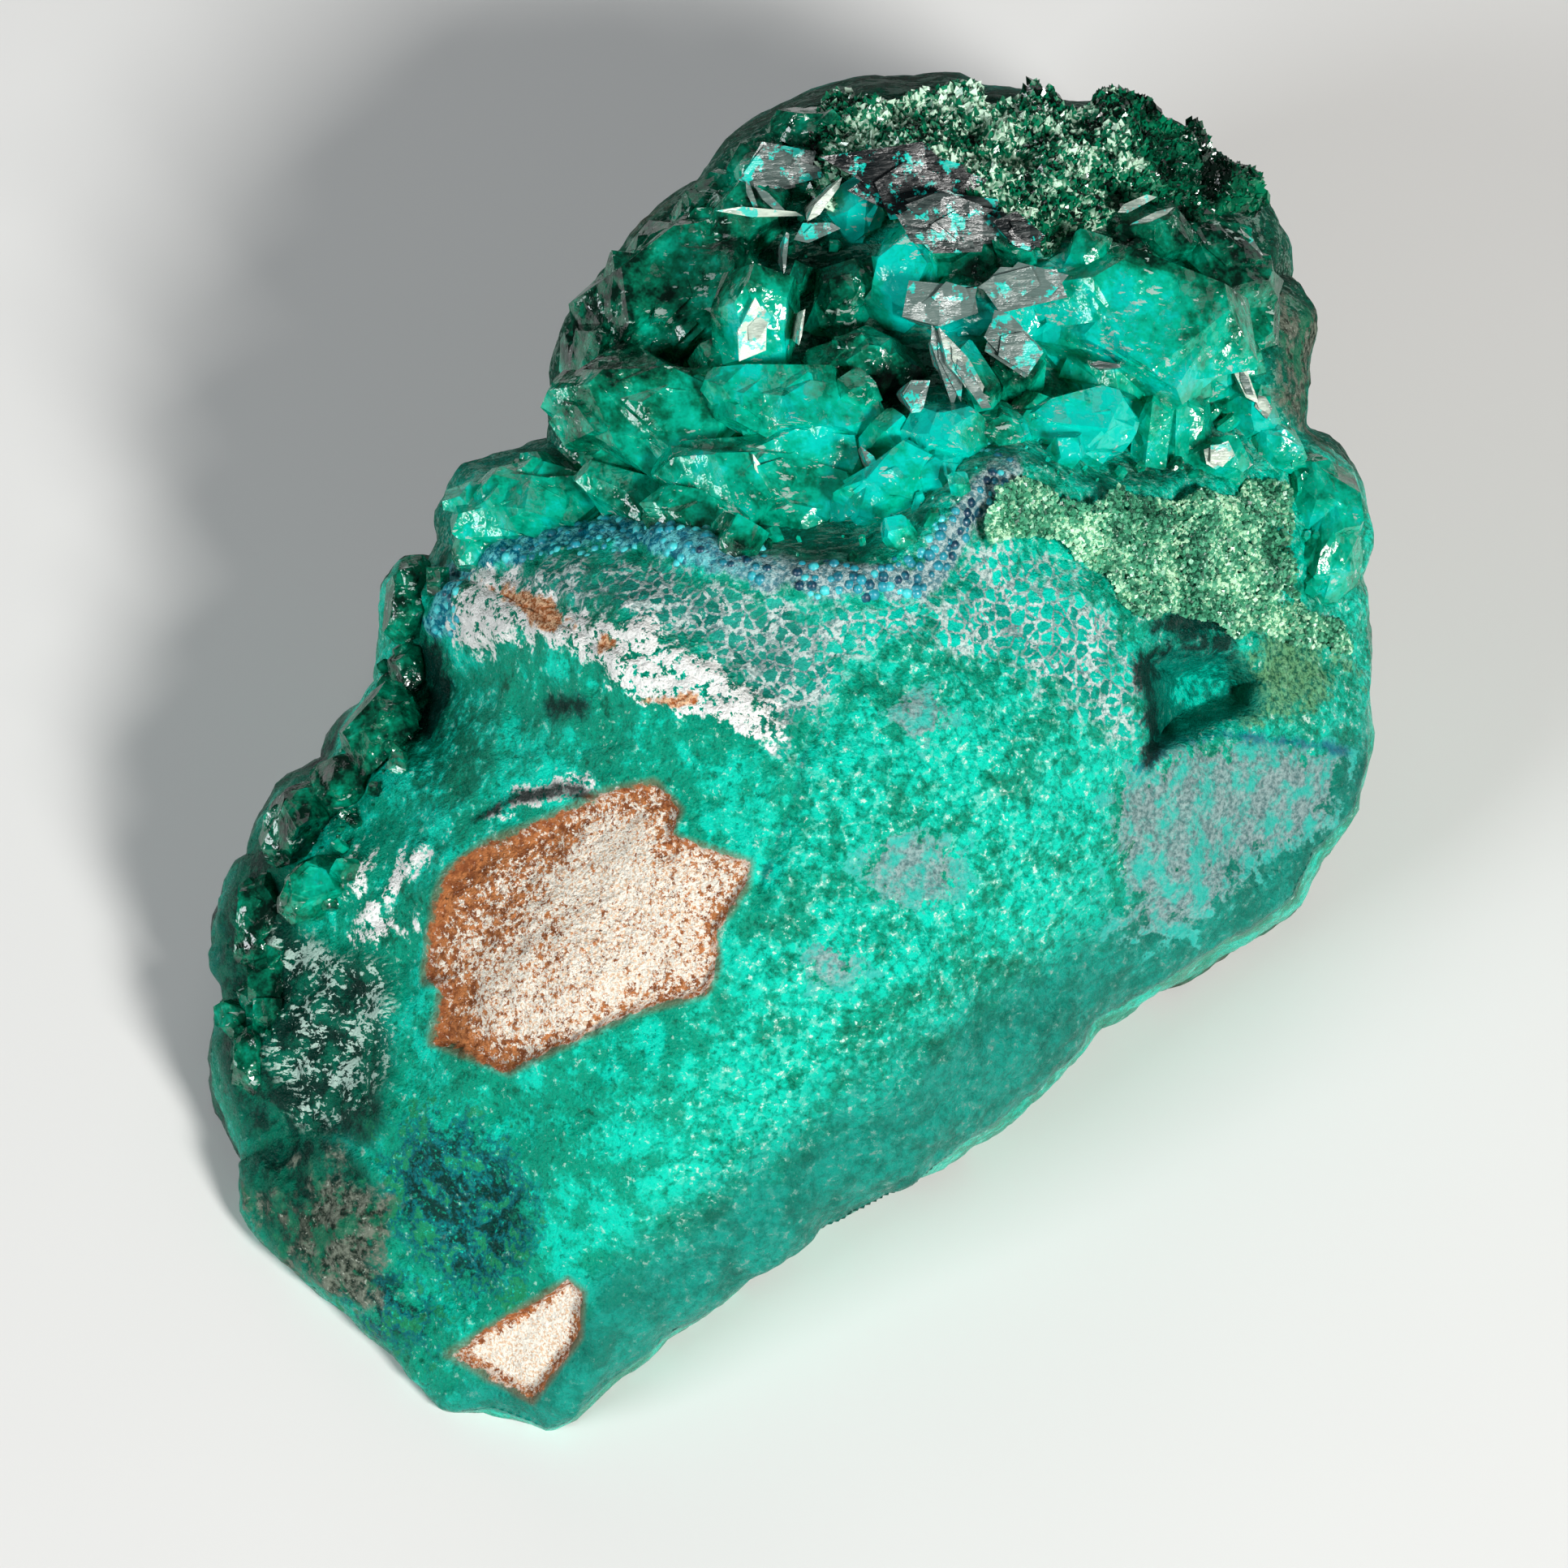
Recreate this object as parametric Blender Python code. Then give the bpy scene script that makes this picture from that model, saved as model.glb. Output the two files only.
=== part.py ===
"""Dioptase crystals on a copper-stained matrix: one small mineral specimen.

The specimen is laid out on its display face, which leans back. A layout point is
(across, up, toward) in millimetres: across to the right, up along the face, and
toward along the face's normal. locate() turns layout points into world metres.
"""
import math

import bmesh
import bpy
import numpy as np
from mathutils import Matrix, Vector

# Driving dimensions, in millimetres and degrees
MM = 0.001
FACE_ELEVATION = math.radians(60.0)  # how far the face's normal rises above the horizon
FACE_HEIGHT = 11.2  # height of the layout's origin over the base
CENTRE_SHIFT = (-0.422, -4.640)  # moves the finished box's centre over the world origin
TAPER_LENGTH = 241.5  # the block narrows toward the viewer as if to a point this far off
HEART = (-0.15, 1.65)  # the point that the outline is seen whole from
GAP = 0.35  # clearance between pieces grown against each other
GRID = 30  # cells along one side of the block's front
BACK_DEPTH = -26.0  # how far the unfinished back would reach before the base cuts it
CREST = 5.6  # greatest height of the plain face over the layout plane

OUTLINE = (
    (5.3, 21.6), (6.2, 21.2), (8.3, 21.0), (10.5, 20.8), (11.8, 20.5), (13.1, 19.9), (14.1, 19.1),
    (14.9, 18.2), (15.4, 17.1), (15.4, 16.4), (15.2, 15.7), (15.8, 15.4), (16.3, 14.4), (16.2, 13.0),
    (16.1, 11.0), (16.9, 10.4), (17.4, 9.7), (18.0, 8.2), (17.9, 7.1), (17.6, 6.3), (17.9, 5.4),
    (18.1, 4.0), (17.9, 1.6), (17.4, -0.8), (16.4, -2.1), (15.7, -3.5), (13.3, -4.8), (10.8, -6.3),
    (9.5, -7.2), (9.0, -8.1), (7.2, -9.6), (5.3, -11.3), (4.6, -12.0), (1.2, -13.8), (0.5, -14.4),
    (-1.6, -15.6), (-3.9, -16.9), (-5.4, -18.4), (-6.5, -19.7), (-7.3, -19.9), (-8.2, -19.6),
    (-9.2, -19.2), (-10.5, -19.1), (-11.3, -18.1), (-12.2, -17.1), (-14.2, -15.6), (-15.4, -14.6),
    (-16.6, -13.1), (-16.4, -11.7), (-17.1, -10.8), (-17.4, -9.2), (-16.9, -6.7), (-17.2, -4.6),
    (-16.6, -3.0), (-16.1, -2.4), (-15.9, -1.2), (-15.3, -0.3), (-13.9, 0.6), (-13.8, 1.6),
    (-12.4, 3.1), (-12.3, 4.4), (-12.3, 6.1), (-11.8, 6.8), (-10.9, 6.8), (-10.6, 7.5), (-10.7, 8.4),
    (-9.8, 9.7), (-8.7, 10.1), (-7.0, 10.4), (-6.9, 11.2), (-6.9, 12.7), (-6.6, 14.2), (-5.2, 16.0),
    (-4.3, 17.0), (-2.4, 18.4), (-2.0, 19.1), (-1.4, 19.9), (0.8, 20.9), (2.4, 21.3), (3.9, 21.4),
)
TERRACE = (  # the step above the ridge that the large crystals fill
    (-11.2, 7.3), (-9.2, 7.5), (-6.9, 8.0), (-4.9, 8.2), (-2.9, 7.9), (-1.4, 7.2), (0.3, 6.8),
    (2.1, 6.8), (3.6, 7.5), (4.8, 8.7), (5.7, 9.8), (7.3, 10.2), (9.3, 9.4), (11.6, 9.6),
    (13.3, 9.7), (14.8, 10.2), (15.6, 11.2), (14.7, 14.2), (14.5, 15.9), (12.8, 17.0),
    (10.8, 17.2), (10.2, 16.2), (8.1, 16.0), (6.6, 16.9), (5.1, 18.1), (3.6, 19.2), (1.9, 19.1),
    (0.6, 20.2), (-1.2, 19.4), (-2.6, 18.0), (-4.5, 16.4), (-6.3, 14.5), (-6.9, 12.9), (-7.1, 10.9),
    (-9.6, 9.4), (-10.8, 8.2),
)
RIDGE = (  # the crest between the terrace and the smooth lower face
    (-10.5, 6.3), (-9.0, 7.2), (-6.9, 7.8), (-4.9, 7.9), (-2.9, 7.5), (-1.4, 6.9), (0.2, 6.5),
    (2.1, 6.5), (3.8, 7.2), (5.0, 8.3), (6.0, 9.3), (7.4, 9.6), (9.4, 8.9), (11.4, 9.1), (12.9, 9.2),
)
CROWN = (  # the boss at the top, coated with fine crystals
    (1.9, 20.6), (3.9, 20.9), (6.2, 20.6), (8.3, 20.4), (10.6, 20.1), (12.6, 19.2), (13.6, 18.2),
    (13.7, 17.4), (13.1, 17.6), (12.4, 18.0), (10.4, 18.2), (9.4, 17.2), (8.1, 17.0), (7.1, 17.7),
    (5.8, 18.9), (4.3, 20.0), (2.6, 20.1),
)
PALE = (  # the pale granular crust between the ridge and the cavity
    (6.2, 8.9), (7.5, 9.1), (9.3, 8.4), (11.6, 8.6), (13.4, 8.7), (15.0, 8.8), (15.2, 7.4),
    (15.0, 6.0), (15.4, 5.0), (14.1, 4.7), (12.1, 5.0), (10.4, 5.3), (8.9, 6.4), (7.5, 7.2), (6.2, 7.5),
)
RIGHT_RIM = (  # the short run of crystals that closes the right edge
    (15.9, 9.8), (16.8, 9.8), (17.5, 8.2), (17.4, 7.1), (17.1, 6.2), (16.6, 5.7), (16.0, 5.9), (15.8, 7.6),
)
LEFT_FLANK = (  # the row of crystal lumps down the left edge
    (-11.0, 5.6), (-11.7, 6.1), (-12.0, 4.4), (-12.1, 3.1), (-13.4, 1.6), (-13.6, 0.8), (-15.0, -0.2),
    (-15.6, -1.2), (-15.9, -2.6), (-16.5, -4.6), (-16.3, -6.7), (-16.7, -8.8), (-16.2, -10.0),
    (-15.4, -8.1), (-15.0, -5.3), (-13.6, -3.6), (-12.9, -1.4), (-11.8, 0.1), (-10.8, 1.6),
    (-10.9, 3.4),
)
CAVITY = (  # the open pocket at the right
    (10.7, 4.2), (12.1, 4.5), (14.1, 4.2), (14.9, 3.3), (14.7, 2.0), (13.3, 1.5), (11.8, 0.8),
    (10.9, 0.8), (10.7, 2.4),
)
SWELLS = (  # centre across, centre up, half width, half height, turn in degrees, rise
    (-7.0, 5.6, 6.0, 2.8, -28.0, 2.6),  # the shoulder under the white streak
    (-11.4, 2.9, 1.4, 2.2, 0.0, -2.4),  # the dark hollow left of it
    (-11.5, 5.8, 1.0, 1.4, 0.0, 1.0),
    (-12.4, 1.2, 1.7, 1.5, 0.0, 1.2),
    (-14.9, -1.1, 1.4, 1.8, 0.0, 1.2),
    (-16.2, -4.1, 1.2, 1.7, 0.0, 1.0),
    (-16.4, -8.6, 1.1, 1.9, 0.0, 0.8),
    (-13.4, -3.4, 2.5, 2.0, 20.0, 0.8),
    (-6.0, -4.6, 5.0, 3.6, 25.0, 0.5),  # the brown patch stands a little proud
    (-9.4, -13.4, 1.5, 2.6, 0.0, -0.9),  # the blue dimple near the foot
    (7.0, 19.0, 5.0, 2.4, 0.0, 1.0),  # the crown boss
    (11.5, 11.5, 3.5, 3.0, 0.0, -1.2),  # the socket of the great right-hand crystal
)

# Crystals: across, up, height of the centre over the matrix, radius, half length, axis, twist
TERRACE_CRYSTALS = (
    (-0.4, 14.4, 2.2, 1.50, 2.9, (-0.10, 0.75, 0.65), 10),
    (-3.9, 11.6, 0.8, 2.30, 3.6, (-0.50, 0.30, 0.80), 25),
    (-7.9, 8.7, 0.7, 1.60, 3.3, (0.90, 0.25, 0.35), 5),
    (-5.7, 9.4, 0.7, 1.15, 2.3, (-0.20, 0.60, 0.75), 40),
    (10.9, 13.2, 0.8, 2.70, 4.2, (0.35, 0.30, 0.88), 12),
    (9.4, 10.7, 1.3, 1.10, 2.3, (0.95, 0.00, 0.30), 30),
    (12.4, 11.2, 1.0, 1.25, 2.4, (0.20, 0.90, 0.40), 50),
    (4.9, 10.5, 1.0, 1.25, 2.1, (0.10, 0.40, 0.90), 20),
    (5.9, 12.8, 2.0, 0.85, 2.1, (0.45, -0.75, 0.50), 15),
    (4.2, 11.8, 1.8, 0.55, 1.2, (-0.30, 0.60, 0.75), 0),
    (5.4, 14.9, 0.8, 1.40, 2.1, (-0.20, 0.30, 0.93), 35),
    (7.4, 14.3, 0.8, 1.20, 2.0, (0.30, 0.10, 0.95), 8),
    (1.4, 12.2, 0.9, 1.55, 2.7, (0.80, 0.30, 0.50), 22),
    (-0.6, 10.7, 0.9, 1.45, 2.6, (-0.70, 0.40, 0.60), 45),
    (2.5, 14.0, 0.6, 1.30, 2.3, (0.30, 0.70, 0.65), 5),
    (0.9, 9.0, 0.8, 1.50, 2.5, (0.60, -0.20, 0.75), 33),
    (3.3, 8.9, 0.7, 1.10, 1.9, (0.20, -0.40, 0.90), 18),
    (-4.0, 15.0, 0.4, 2.10, 3.5, (-0.55, 0.50, 0.65), 28),
    (-1.8, 16.9, 0.6, 1.50, 2.6, (-0.35, 0.80, 0.50), 3),
    (0.8, 18.2, 0.8, 1.50, 2.6, (0.20, 0.80, 0.55), 40),
    (3.4, 17.0, 0.3, 1.45, 2.3, (-0.15, 0.35, 0.92), 12),
    (11.6, 16.0, 0.5, 1.40, 2.4, (0.40, 0.50, 0.75), 27),
    (14.1, 14.6, 0.4, 1.15, 2.1, (0.70, 0.55, 0.45), 9),
    (14.3, 12.2, 0.6, 1.20, 2.1, (0.75, 0.20, 0.60), 38),
    (14.4, 10.7, 0.6, 0.90, 1.5, (0.50, -0.35, 0.80), 16),
    (7.6, 12.0, 0.6, 1.25, 2.1, (0.10, 0.30, 0.95), 48),
    (-2.9, 8.9, 0.7, 1.00, 1.7, (-0.20, -0.10, 0.95), 21),
)
LEFT_CRYSTALS = (
    (-11.5, 5.2, 0.5, 0.85, 1.5, (-0.65, 0.60, 0.45), 20),
    (-11.5, 3.6, 0.5, 0.75, 1.2, (-0.70, 0.10, 0.70), 5),
    (-12.4, 1.9, 0.6, 1.10, 1.5, (-0.55, 0.30, 0.78), 32),
    (-13.3, 0.2, 0.6, 1.10, 1.5, (-0.60, 0.45, 0.65), 14),
    (-14.7, -1.3, 0.5, 1.10, 1.6, (-0.75, 0.30, 0.58), 41),
    (-14.6, -3.3, 0.6, 1.10, 1.5, (-0.45, 0.20, 0.87), 7),
    (-15.9, -4.3, 0.4, 1.00, 1.4, (-0.80, 0.15, 0.58), 26),
    (-15.8, -6.6, 0.5, 1.00, 1.4, (-0.60, -0.10, 0.79), 18),
    (-16.1, -8.4, 0.4, 0.95, 1.4, (-0.75, -0.20, 0.63), 50),
)
RIGHT_CRYSTALS = (
    (16.6, 9.2, 0.4, 0.85, 1.3, (0.60, 0.55, 0.58), 12),
    (16.9, 7.9, 0.4, 0.90, 1.3, (0.75, 0.15, 0.64), 33),
    (16.5, 6.5, 0.4, 0.80, 1.2, (0.65, -0.30, 0.70), 21),
)
TERMINATION_SLOPE = 1.23  # fall of a rhombic end face for each unit out from the axis
BACK_LUMPS = 1.1  # height of the broad lumps of the back and sides
LEAST_RISE = 1.0  # the face stands at least this far over the rim
COLUMN_TOP = 14.0  # over every crystal, in the toward direction
BASE_SNAP = 0.1  # corners this near the ground are put on it


def outline_radius(angle):
    """Distance from the heart to the outline in each direction."""
    offsets = np.array(OUTLINE) - np.array(HEART)
    bearings = np.arctan2(offsets[:, 1], offsets[:, 0])
    return np.interp(angle, bearings, np.hypot(offsets[:, 0], offsets[:, 1]), period=2 * math.pi)


def polar_points(angle, radius):
    """Layout points at a radius and an angle about the heart."""
    return np.array(HEART) + radius[:, None] * np.column_stack((np.cos(angle), np.sin(angle)))


def segment_distance(points, corners, closed):
    """Distance from each point to the nearest segment of a line through the corners."""
    starts = np.array(corners)
    ends = np.roll(starts, -1, axis=0)
    if not closed:
        starts, ends = starts[:-1], ends[:-1]
    nearest = np.full(len(points), np.inf)
    for start, end in zip(starts, ends):
        along = np.clip((points - start) @ (end - start) / ((end - start) @ (end - start)), 0, 1)
        foot = start + along[:, None] * (end - start)
        nearest = np.minimum(nearest, np.hypot(*(points - foot).T))
    return nearest


def inside_distance(points, corners):
    """Distance in from a closed outline, negative outside it."""
    starts = np.array(corners)
    ends = np.roll(starts, -1, axis=0)
    crossings = np.zeros(len(points), dtype=int)
    for start, end in zip(starts, ends):
        spans = (start[1] > points[:, 1]) != (end[1] > points[:, 1])
        rise = end[1] - start[1] or 1e-9
        crossing = start[0] + (points[:, 1] - start[1]) * (end[0] - start[0]) / rise
        crossings += spans & (points[:, 0] < crossing)
    distance = segment_distance(points, corners, True)
    return np.where(crossings % 2 == 1, distance, -distance)


def smooth_step(value):
    """Zero below 0, one above 1, and a smooth rise between."""
    value = np.clip(value, 0.0, 1.0)
    return value * value * (3 - 2 * value)


def lattice_noise(points, seed):
    """Smooth noise from -1 to 1: hashed values on a unit lattice, blended between its corners."""
    cell = np.floor(points).astype(np.int64)
    part = points - cell
    weight = part ** 3 * (part * (part * 6 - 15) + 10)
    total = np.zeros(len(points))
    for corner in np.ndindex(2, 2, 2):
        node = cell + corner
        key = (node[:, 0] * 73856093) ^ (node[:, 1] * 19349663) ^ (node[:, 2] * 83492791)
        key = key ^ (seed * 2654435761)
        key = ((key ^ (key >> 13)) * 1274126177) & 0x7FFFFFFF
        share = np.prod(np.where(corner, weight, 1 - weight), axis=1)
        total += share * (key / 0x3FFFFFFF - 1)
    return total


def face_relief(points):
    """Height of the display face without its rounded rim: a saddle of crest, ridge and hollows."""
    across, up = points[:, 0], points[:, 1]
    side = 0.92 * across - 0.39 * up
    length = 0.39 * across + 0.92 * up
    fall = 0.058 * (side - 1.5) ** 2 / (1 + np.abs(side - 1.5) / 30)
    height = CREST - fall - np.where(length > 0, 0.017, 0.006) * length ** 2
    height -= 2.2 * smooth_step(inside_distance(points, TERRACE) / 2.2 + 0.25)
    height += 0.7 * np.exp(-((segment_distance(points, RIDGE, False) / 1.1) ** 2))
    height -= 3.0 * smooth_step(inside_distance(points, CAVITY) / 1.1)
    for centre_across, centre_up, half_width, half_height, turn, rise in SWELLS:
        cosine, sine = math.cos(math.radians(turn)), math.sin(math.radians(turn))
        right, upward = across - centre_across, up - centre_up
        wide = (right * cosine + upward * sine) / half_width
        high = (upward * cosine - right * sine) / half_height
        height += rise * np.exp(-(wide ** 2 + high ** 2))
    return height


def rim_toward(points):
    """Toward coordinate of the rim, whose world height climbs from the foot to the crown."""
    across, up = points.T
    height = 2.8 + 0.31 * (up + 19.95) - np.where(across > 0, 0.15, -0.25) * across
    level = height - FACE_HEIGHT - up * math.cos(FACE_ELEVATION)
    return level / math.sin(FACE_ELEVATION)


def front_toward(points):
    """Toward coordinate of the matrix's front over layout points inside the outline."""
    offsets = points - np.array(HEART)
    angle = np.arctan2(offsets[:, 1], offsets[:, 0])
    radius = outline_radius(angle)
    share = np.clip(np.hypot(offsets[:, 0], offsets[:, 1]) / radius, 0, 1)
    rim = rim_toward(polar_points(angle, radius))
    rise = np.maximum(face_relief(points) - rim, LEAST_RISE)
    return rim + rise * np.sqrt(1 - share ** 3.0)


def locate(layout):
    """World positions in metres of layout points in millimetres."""
    across, up, toward = np.atleast_2d(layout).T
    sine, cosine = math.sin(FACE_ELEVATION), math.cos(FACE_ELEVATION)
    across = across * (1 - toward / TAPER_LENGTH)
    up = up * (1 - toward / TAPER_LENGTH)
    x = across + CENTRE_SHIFT[0]
    y = up * sine - toward * cosine + CENTRE_SHIFT[1]
    z = FACE_HEIGHT + up * cosine + toward * sine
    return np.column_stack((x, y, z)) * MM


def new_object(name, positions, faces, material=None):
    """An object with a mesh from positions and faces."""
    mesh = bpy.data.meshes.new(name)
    mesh.from_pydata([tuple(position) for position in positions], [], faces)
    mesh.validate()
    shell = bmesh.new()
    shell.from_mesh(mesh)
    bmesh.ops.recalc_face_normals(shell, faces=shell.faces)
    shell.to_mesh(mesh)
    shell.free()
    if material:
        mesh.materials.append(material)
    piece = bpy.data.objects.new(name, mesh)
    bpy.context.scene.collection.objects.link(piece)
    return piece


def make_cutter(piece):
    """Hide a construction body, which stays out of the finished model."""
    piece.hide_render = True
    piece.display_type = "WIRE"
    return piece


def block_grid():
    """Angles, shares of the radius and triangles of a square grid that is bent to a disc."""
    steps = np.linspace(-1, 1, GRID + 1)
    wide, high = (values.ravel() for values in np.meshgrid(steps, steps))
    share = np.sin(np.maximum(np.abs(wide), np.abs(high)) * math.pi / 2)
    triangles = []
    for down, along in np.ndindex(GRID, GRID):
        near = down * (GRID + 1) + along
        far = near + GRID + 1
        if (down < GRID // 2) == (along < GRID // 2):
            triangles += [(near, near + 1, far + 1), (near, far + 1, far)]
        else:
            triangles += [(near, near + 1, far), (near + 1, far + 1, far)]
    return np.arctan2(high, wide), share, triangles


def back_layout(angle, share):
    """Layout points of the back and sides, which lose the outline's notches below the rim."""
    edge = outline_radius(angle)
    calm = np.mean([outline_radius(angle + math.radians(turn)) for turn in range(-18, 19, 6)], axis=0)
    rim = rim_toward(polar_points(angle, edge))
    points = polar_points(angle, (calm + (edge - calm) * share ** 8) * share)
    return np.column_stack((points, rim + (BACK_DEPTH - rim) * np.sqrt(1 - share ** 2.4)))


def roughness(places, inward):
    """Lumps of the weathered surface, in millimetres along its normal, broader on the back."""
    sites = places / MM - np.array((*CENTRE_SHIFT, 0.0))
    lumps = 0.30 * lattice_noise(sites / 3.6, 5) + 0.14 * lattice_noise(sites / 1.7, 9)
    return lumps + BACK_LUMPS * inward * lattice_noise(sites / 7.0, 13)


def build_block(name, spread, material=None):
    """The matrix as one closed block on a flat base, its skin moved out by spread millimetres."""
    angle, share, triangles = block_grid()
    face_points = polar_points(angle, outline_radius(angle) * share)
    front = np.column_stack((face_points, front_toward(face_points)))
    inner = share < 1 - 1e-9
    back = back_layout(angle[inner], share[inner])
    places = np.vstack((locate(front), locate(back)))
    inward = np.concatenate((np.zeros(len(front)), np.clip((front[inner, 2] - back[:, 2]) / 6.0, 0, 1)))
    back_index = np.arange(len(front))
    back_index[inner] = len(front) + np.arange(len(back))
    faces = triangles + [tuple(int(back_index[corner]) for corner in face[::-1]) for face in triangles]
    block = new_object(name, places, faces, material)
    normals = np.zeros(len(places) * 3)
    block.data.vertices.foreach_get("normal", normals)
    outward = (roughness(places, inward) + spread) * MM
    moved = places + normals.reshape(-1, 3) * outward[:, None]
    moved[np.abs(moved[:, 2]) < BASE_SNAP * MM, 2] = 0.0
    block.data.vertices.foreach_set("co", moved.ravel())
    block.data.update()
    return block


def cut_base(block):
    """Cut the block level with the ground and close the cut with one flat face."""
    shape = bmesh.new()
    shape.from_mesh(block.data)
    everything = shape.verts[:] + shape.edges[:] + shape.faces[:]
    cut = bmesh.ops.bisect_plane(
        shape, geom=everything, dist=1e-9, plane_co=(0, 0, 0), plane_no=(0, 0, 1), clear_inner=True
    )
    border = [edge for edge in cut["geom_cut"] if isinstance(edge, bmesh.types.BMEdge)]
    bmesh.ops.edgeloop_fill(shape, edges=border)
    bmesh.ops.recalc_face_normals(shape, faces=shape.faces[:])
    for corner in shape.verts:
        corner.co.z = max(corner.co.z, 0.0)
    shape.to_mesh(block.data)
    shape.free()
    block.data.update()


def build_column(name, outline):
    """A prism over an outline, from the level of the rim, inside the matrix, to over the crystals."""
    corners = np.array(outline)
    count = len(corners)
    foot = np.column_stack((corners, rim_toward(corners)))
    head = np.column_stack((corners, np.full(count, COLUMN_TOP)))
    sides = [(along, (along + 1) % count, count + (along + 1) % count, count + along) for along in range(count)]
    ends = [tuple(range(count)), tuple(range(count, 2 * count))]
    return make_cutter(new_object(name, np.vstack((locate(foot), locate(head))), sides + ends))


def crystal_corners(radius, half_length):
    """The 14 corners of a six-sided prism with three rhombic faces on each end."""
    corners = [(0.0, 0.0, half_length)]
    for end in (1, -1):
        for side in range(6):
            angle = math.radians(60 * side)
            pointed = (side % 2 == 0) == (end > 0)
            fall = TERMINATION_SLOPE * radius * (1.0 if pointed else 0.5)
            height = end * max(half_length - fall, 0.05 * half_length)
            corners.append((radius * math.cos(angle), radius * math.sin(angle), height))
    corners.append((0.0, 0.0, -half_length))
    return np.array(corners)


def crystal_faces():
    """Faces of a crystal: six prism sides and three rhombs on each end."""
    faces = [(1 + side, 1 + (side + 1) % 6, 7 + (side + 1) % 6, 7 + side) for side in range(6)]
    faces += [(0, 1 + (side - 1) % 6, 1 + side, 1 + (side + 1) % 6) for side in (0, 2, 4)]
    faces += [(13, 7 + (side + 1) % 6, 7 + side, 7 + (side - 1) % 6) for side in (1, 3, 5)]
    return faces


def build_crystal(name, row, spread):
    """One crystal of a cluster's table, grown by spread millimetres all round."""
    across, up, proud, radius, half_length, axis, twist = row
    turn = Vector(axis).to_track_quat("Z", "Y").to_matrix() @ Matrix.Rotation(math.radians(twist), 3, "Z")
    local = crystal_corners(radius + spread, half_length + 1.3 * spread) @ np.array(turn).T
    toward = front_toward(np.array([(across, up)]))[0] + proud
    sine, cosine = math.sin(FACE_ELEVATION), math.cos(FACE_ELEVATION)
    to_world = np.array(((1, 0, 0), (0, sine, cosine), (0, -cosine, sine)))
    places = locate((across, up, toward)) + local @ to_world * MM
    return make_cutter(new_object(name, places, crystal_faces()))


def crystal_group(name, rows, spread=0.0):
    """A collection of one cluster's crystals, for a Boolean to work with."""
    group = bpy.data.collections.new(name)
    bpy.context.scene.collection.children.link(group)
    for number, row in enumerate(rows):
        crystal = build_crystal(f"{name}_{number}", row, spread)
        bpy.context.scene.collection.objects.unlink(crystal)
        group.objects.link(crystal)
    return group


def druse_rows(outline, count, radius, seed, keep_off=()):
    """Table rows of small crystals at random places on a crust, off the great ones."""
    random = np.random.default_rng(seed)
    low, high = np.min(outline, axis=0), np.max(outline, axis=0)
    points = random.uniform(low, high, (count * 40, 2))
    points = points[inside_distance(points, outline) > 0.8 * radius]
    for across, up, _, size, *_ in keep_off:
        points = points[np.hypot(points[:, 0] - across, points[:, 1] - up) > 1.1 * size]
    rows = []
    for across, up in points:
        if len(rows) == count:
            break
        if any(math.hypot(across - row[0], up - row[1]) < 1.7 * radius for row in rows):
            continue
        size = radius * random.uniform(0.75, 1.35)
        lean = random.uniform(-0.6, 0.6, 2)
        axis = (lean[0], lean[1], 0.8)
        rows.append((across, up, 0.7 + 0.4 * size, size, 1.5 * size, axis, random.uniform(0, 60)))
    return rows


def add_boolean(piece, operation, target):
    """Join a piece with another body or a collection of bodies, or cut them from it."""
    modifier = piece.modifiers.new(operation.lower(), "BOOLEAN")
    modifier.operation = operation
    modifier.solver = "EXACT"
    if isinstance(target, bpy.types.Collection):
        modifier.operand_type = "COLLECTION"
        modifier.collection = target
    else:
        modifier.object = target


def build_cluster(name, outline, thickness, rows, clearance, neighbours, material):
    """Crystals joined by the crust that they grow from, cut clear of the matrix and neighbours."""
    cluster = build_block(name, GAP + thickness, material)
    add_boolean(cluster, "INTERSECT", build_column(f"{name}_column", outline))
    add_boolean(cluster, "UNION", crystal_group(f"{name}_crystals", rows))
    add_boolean(cluster, "DIFFERENCE", clearance)
    for neighbour in neighbours:
        add_boolean(cluster, "DIFFERENCE", neighbour)
    return cluster


def principled(name, color, roughness_value, transmission=0.0):
    """A plain material with the piece's colour."""
    material = bpy.data.materials.new(name)
    material.use_nodes = True
    shader = material.node_tree.nodes["Principled BSDF"]
    shader.inputs["Base Color"].default_value = (*color, 1.0)
    shader.inputs["Roughness"].default_value = roughness_value
    shader.inputs["Metallic"].default_value = 0.0
    shader.inputs["Transmission Weight"].default_value = transmission
    return material


def clear_scene():
    """Remove whatever the file holds."""
    for item in list(bpy.data.objects):
        bpy.data.objects.remove(item, do_unlink=True)


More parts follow.
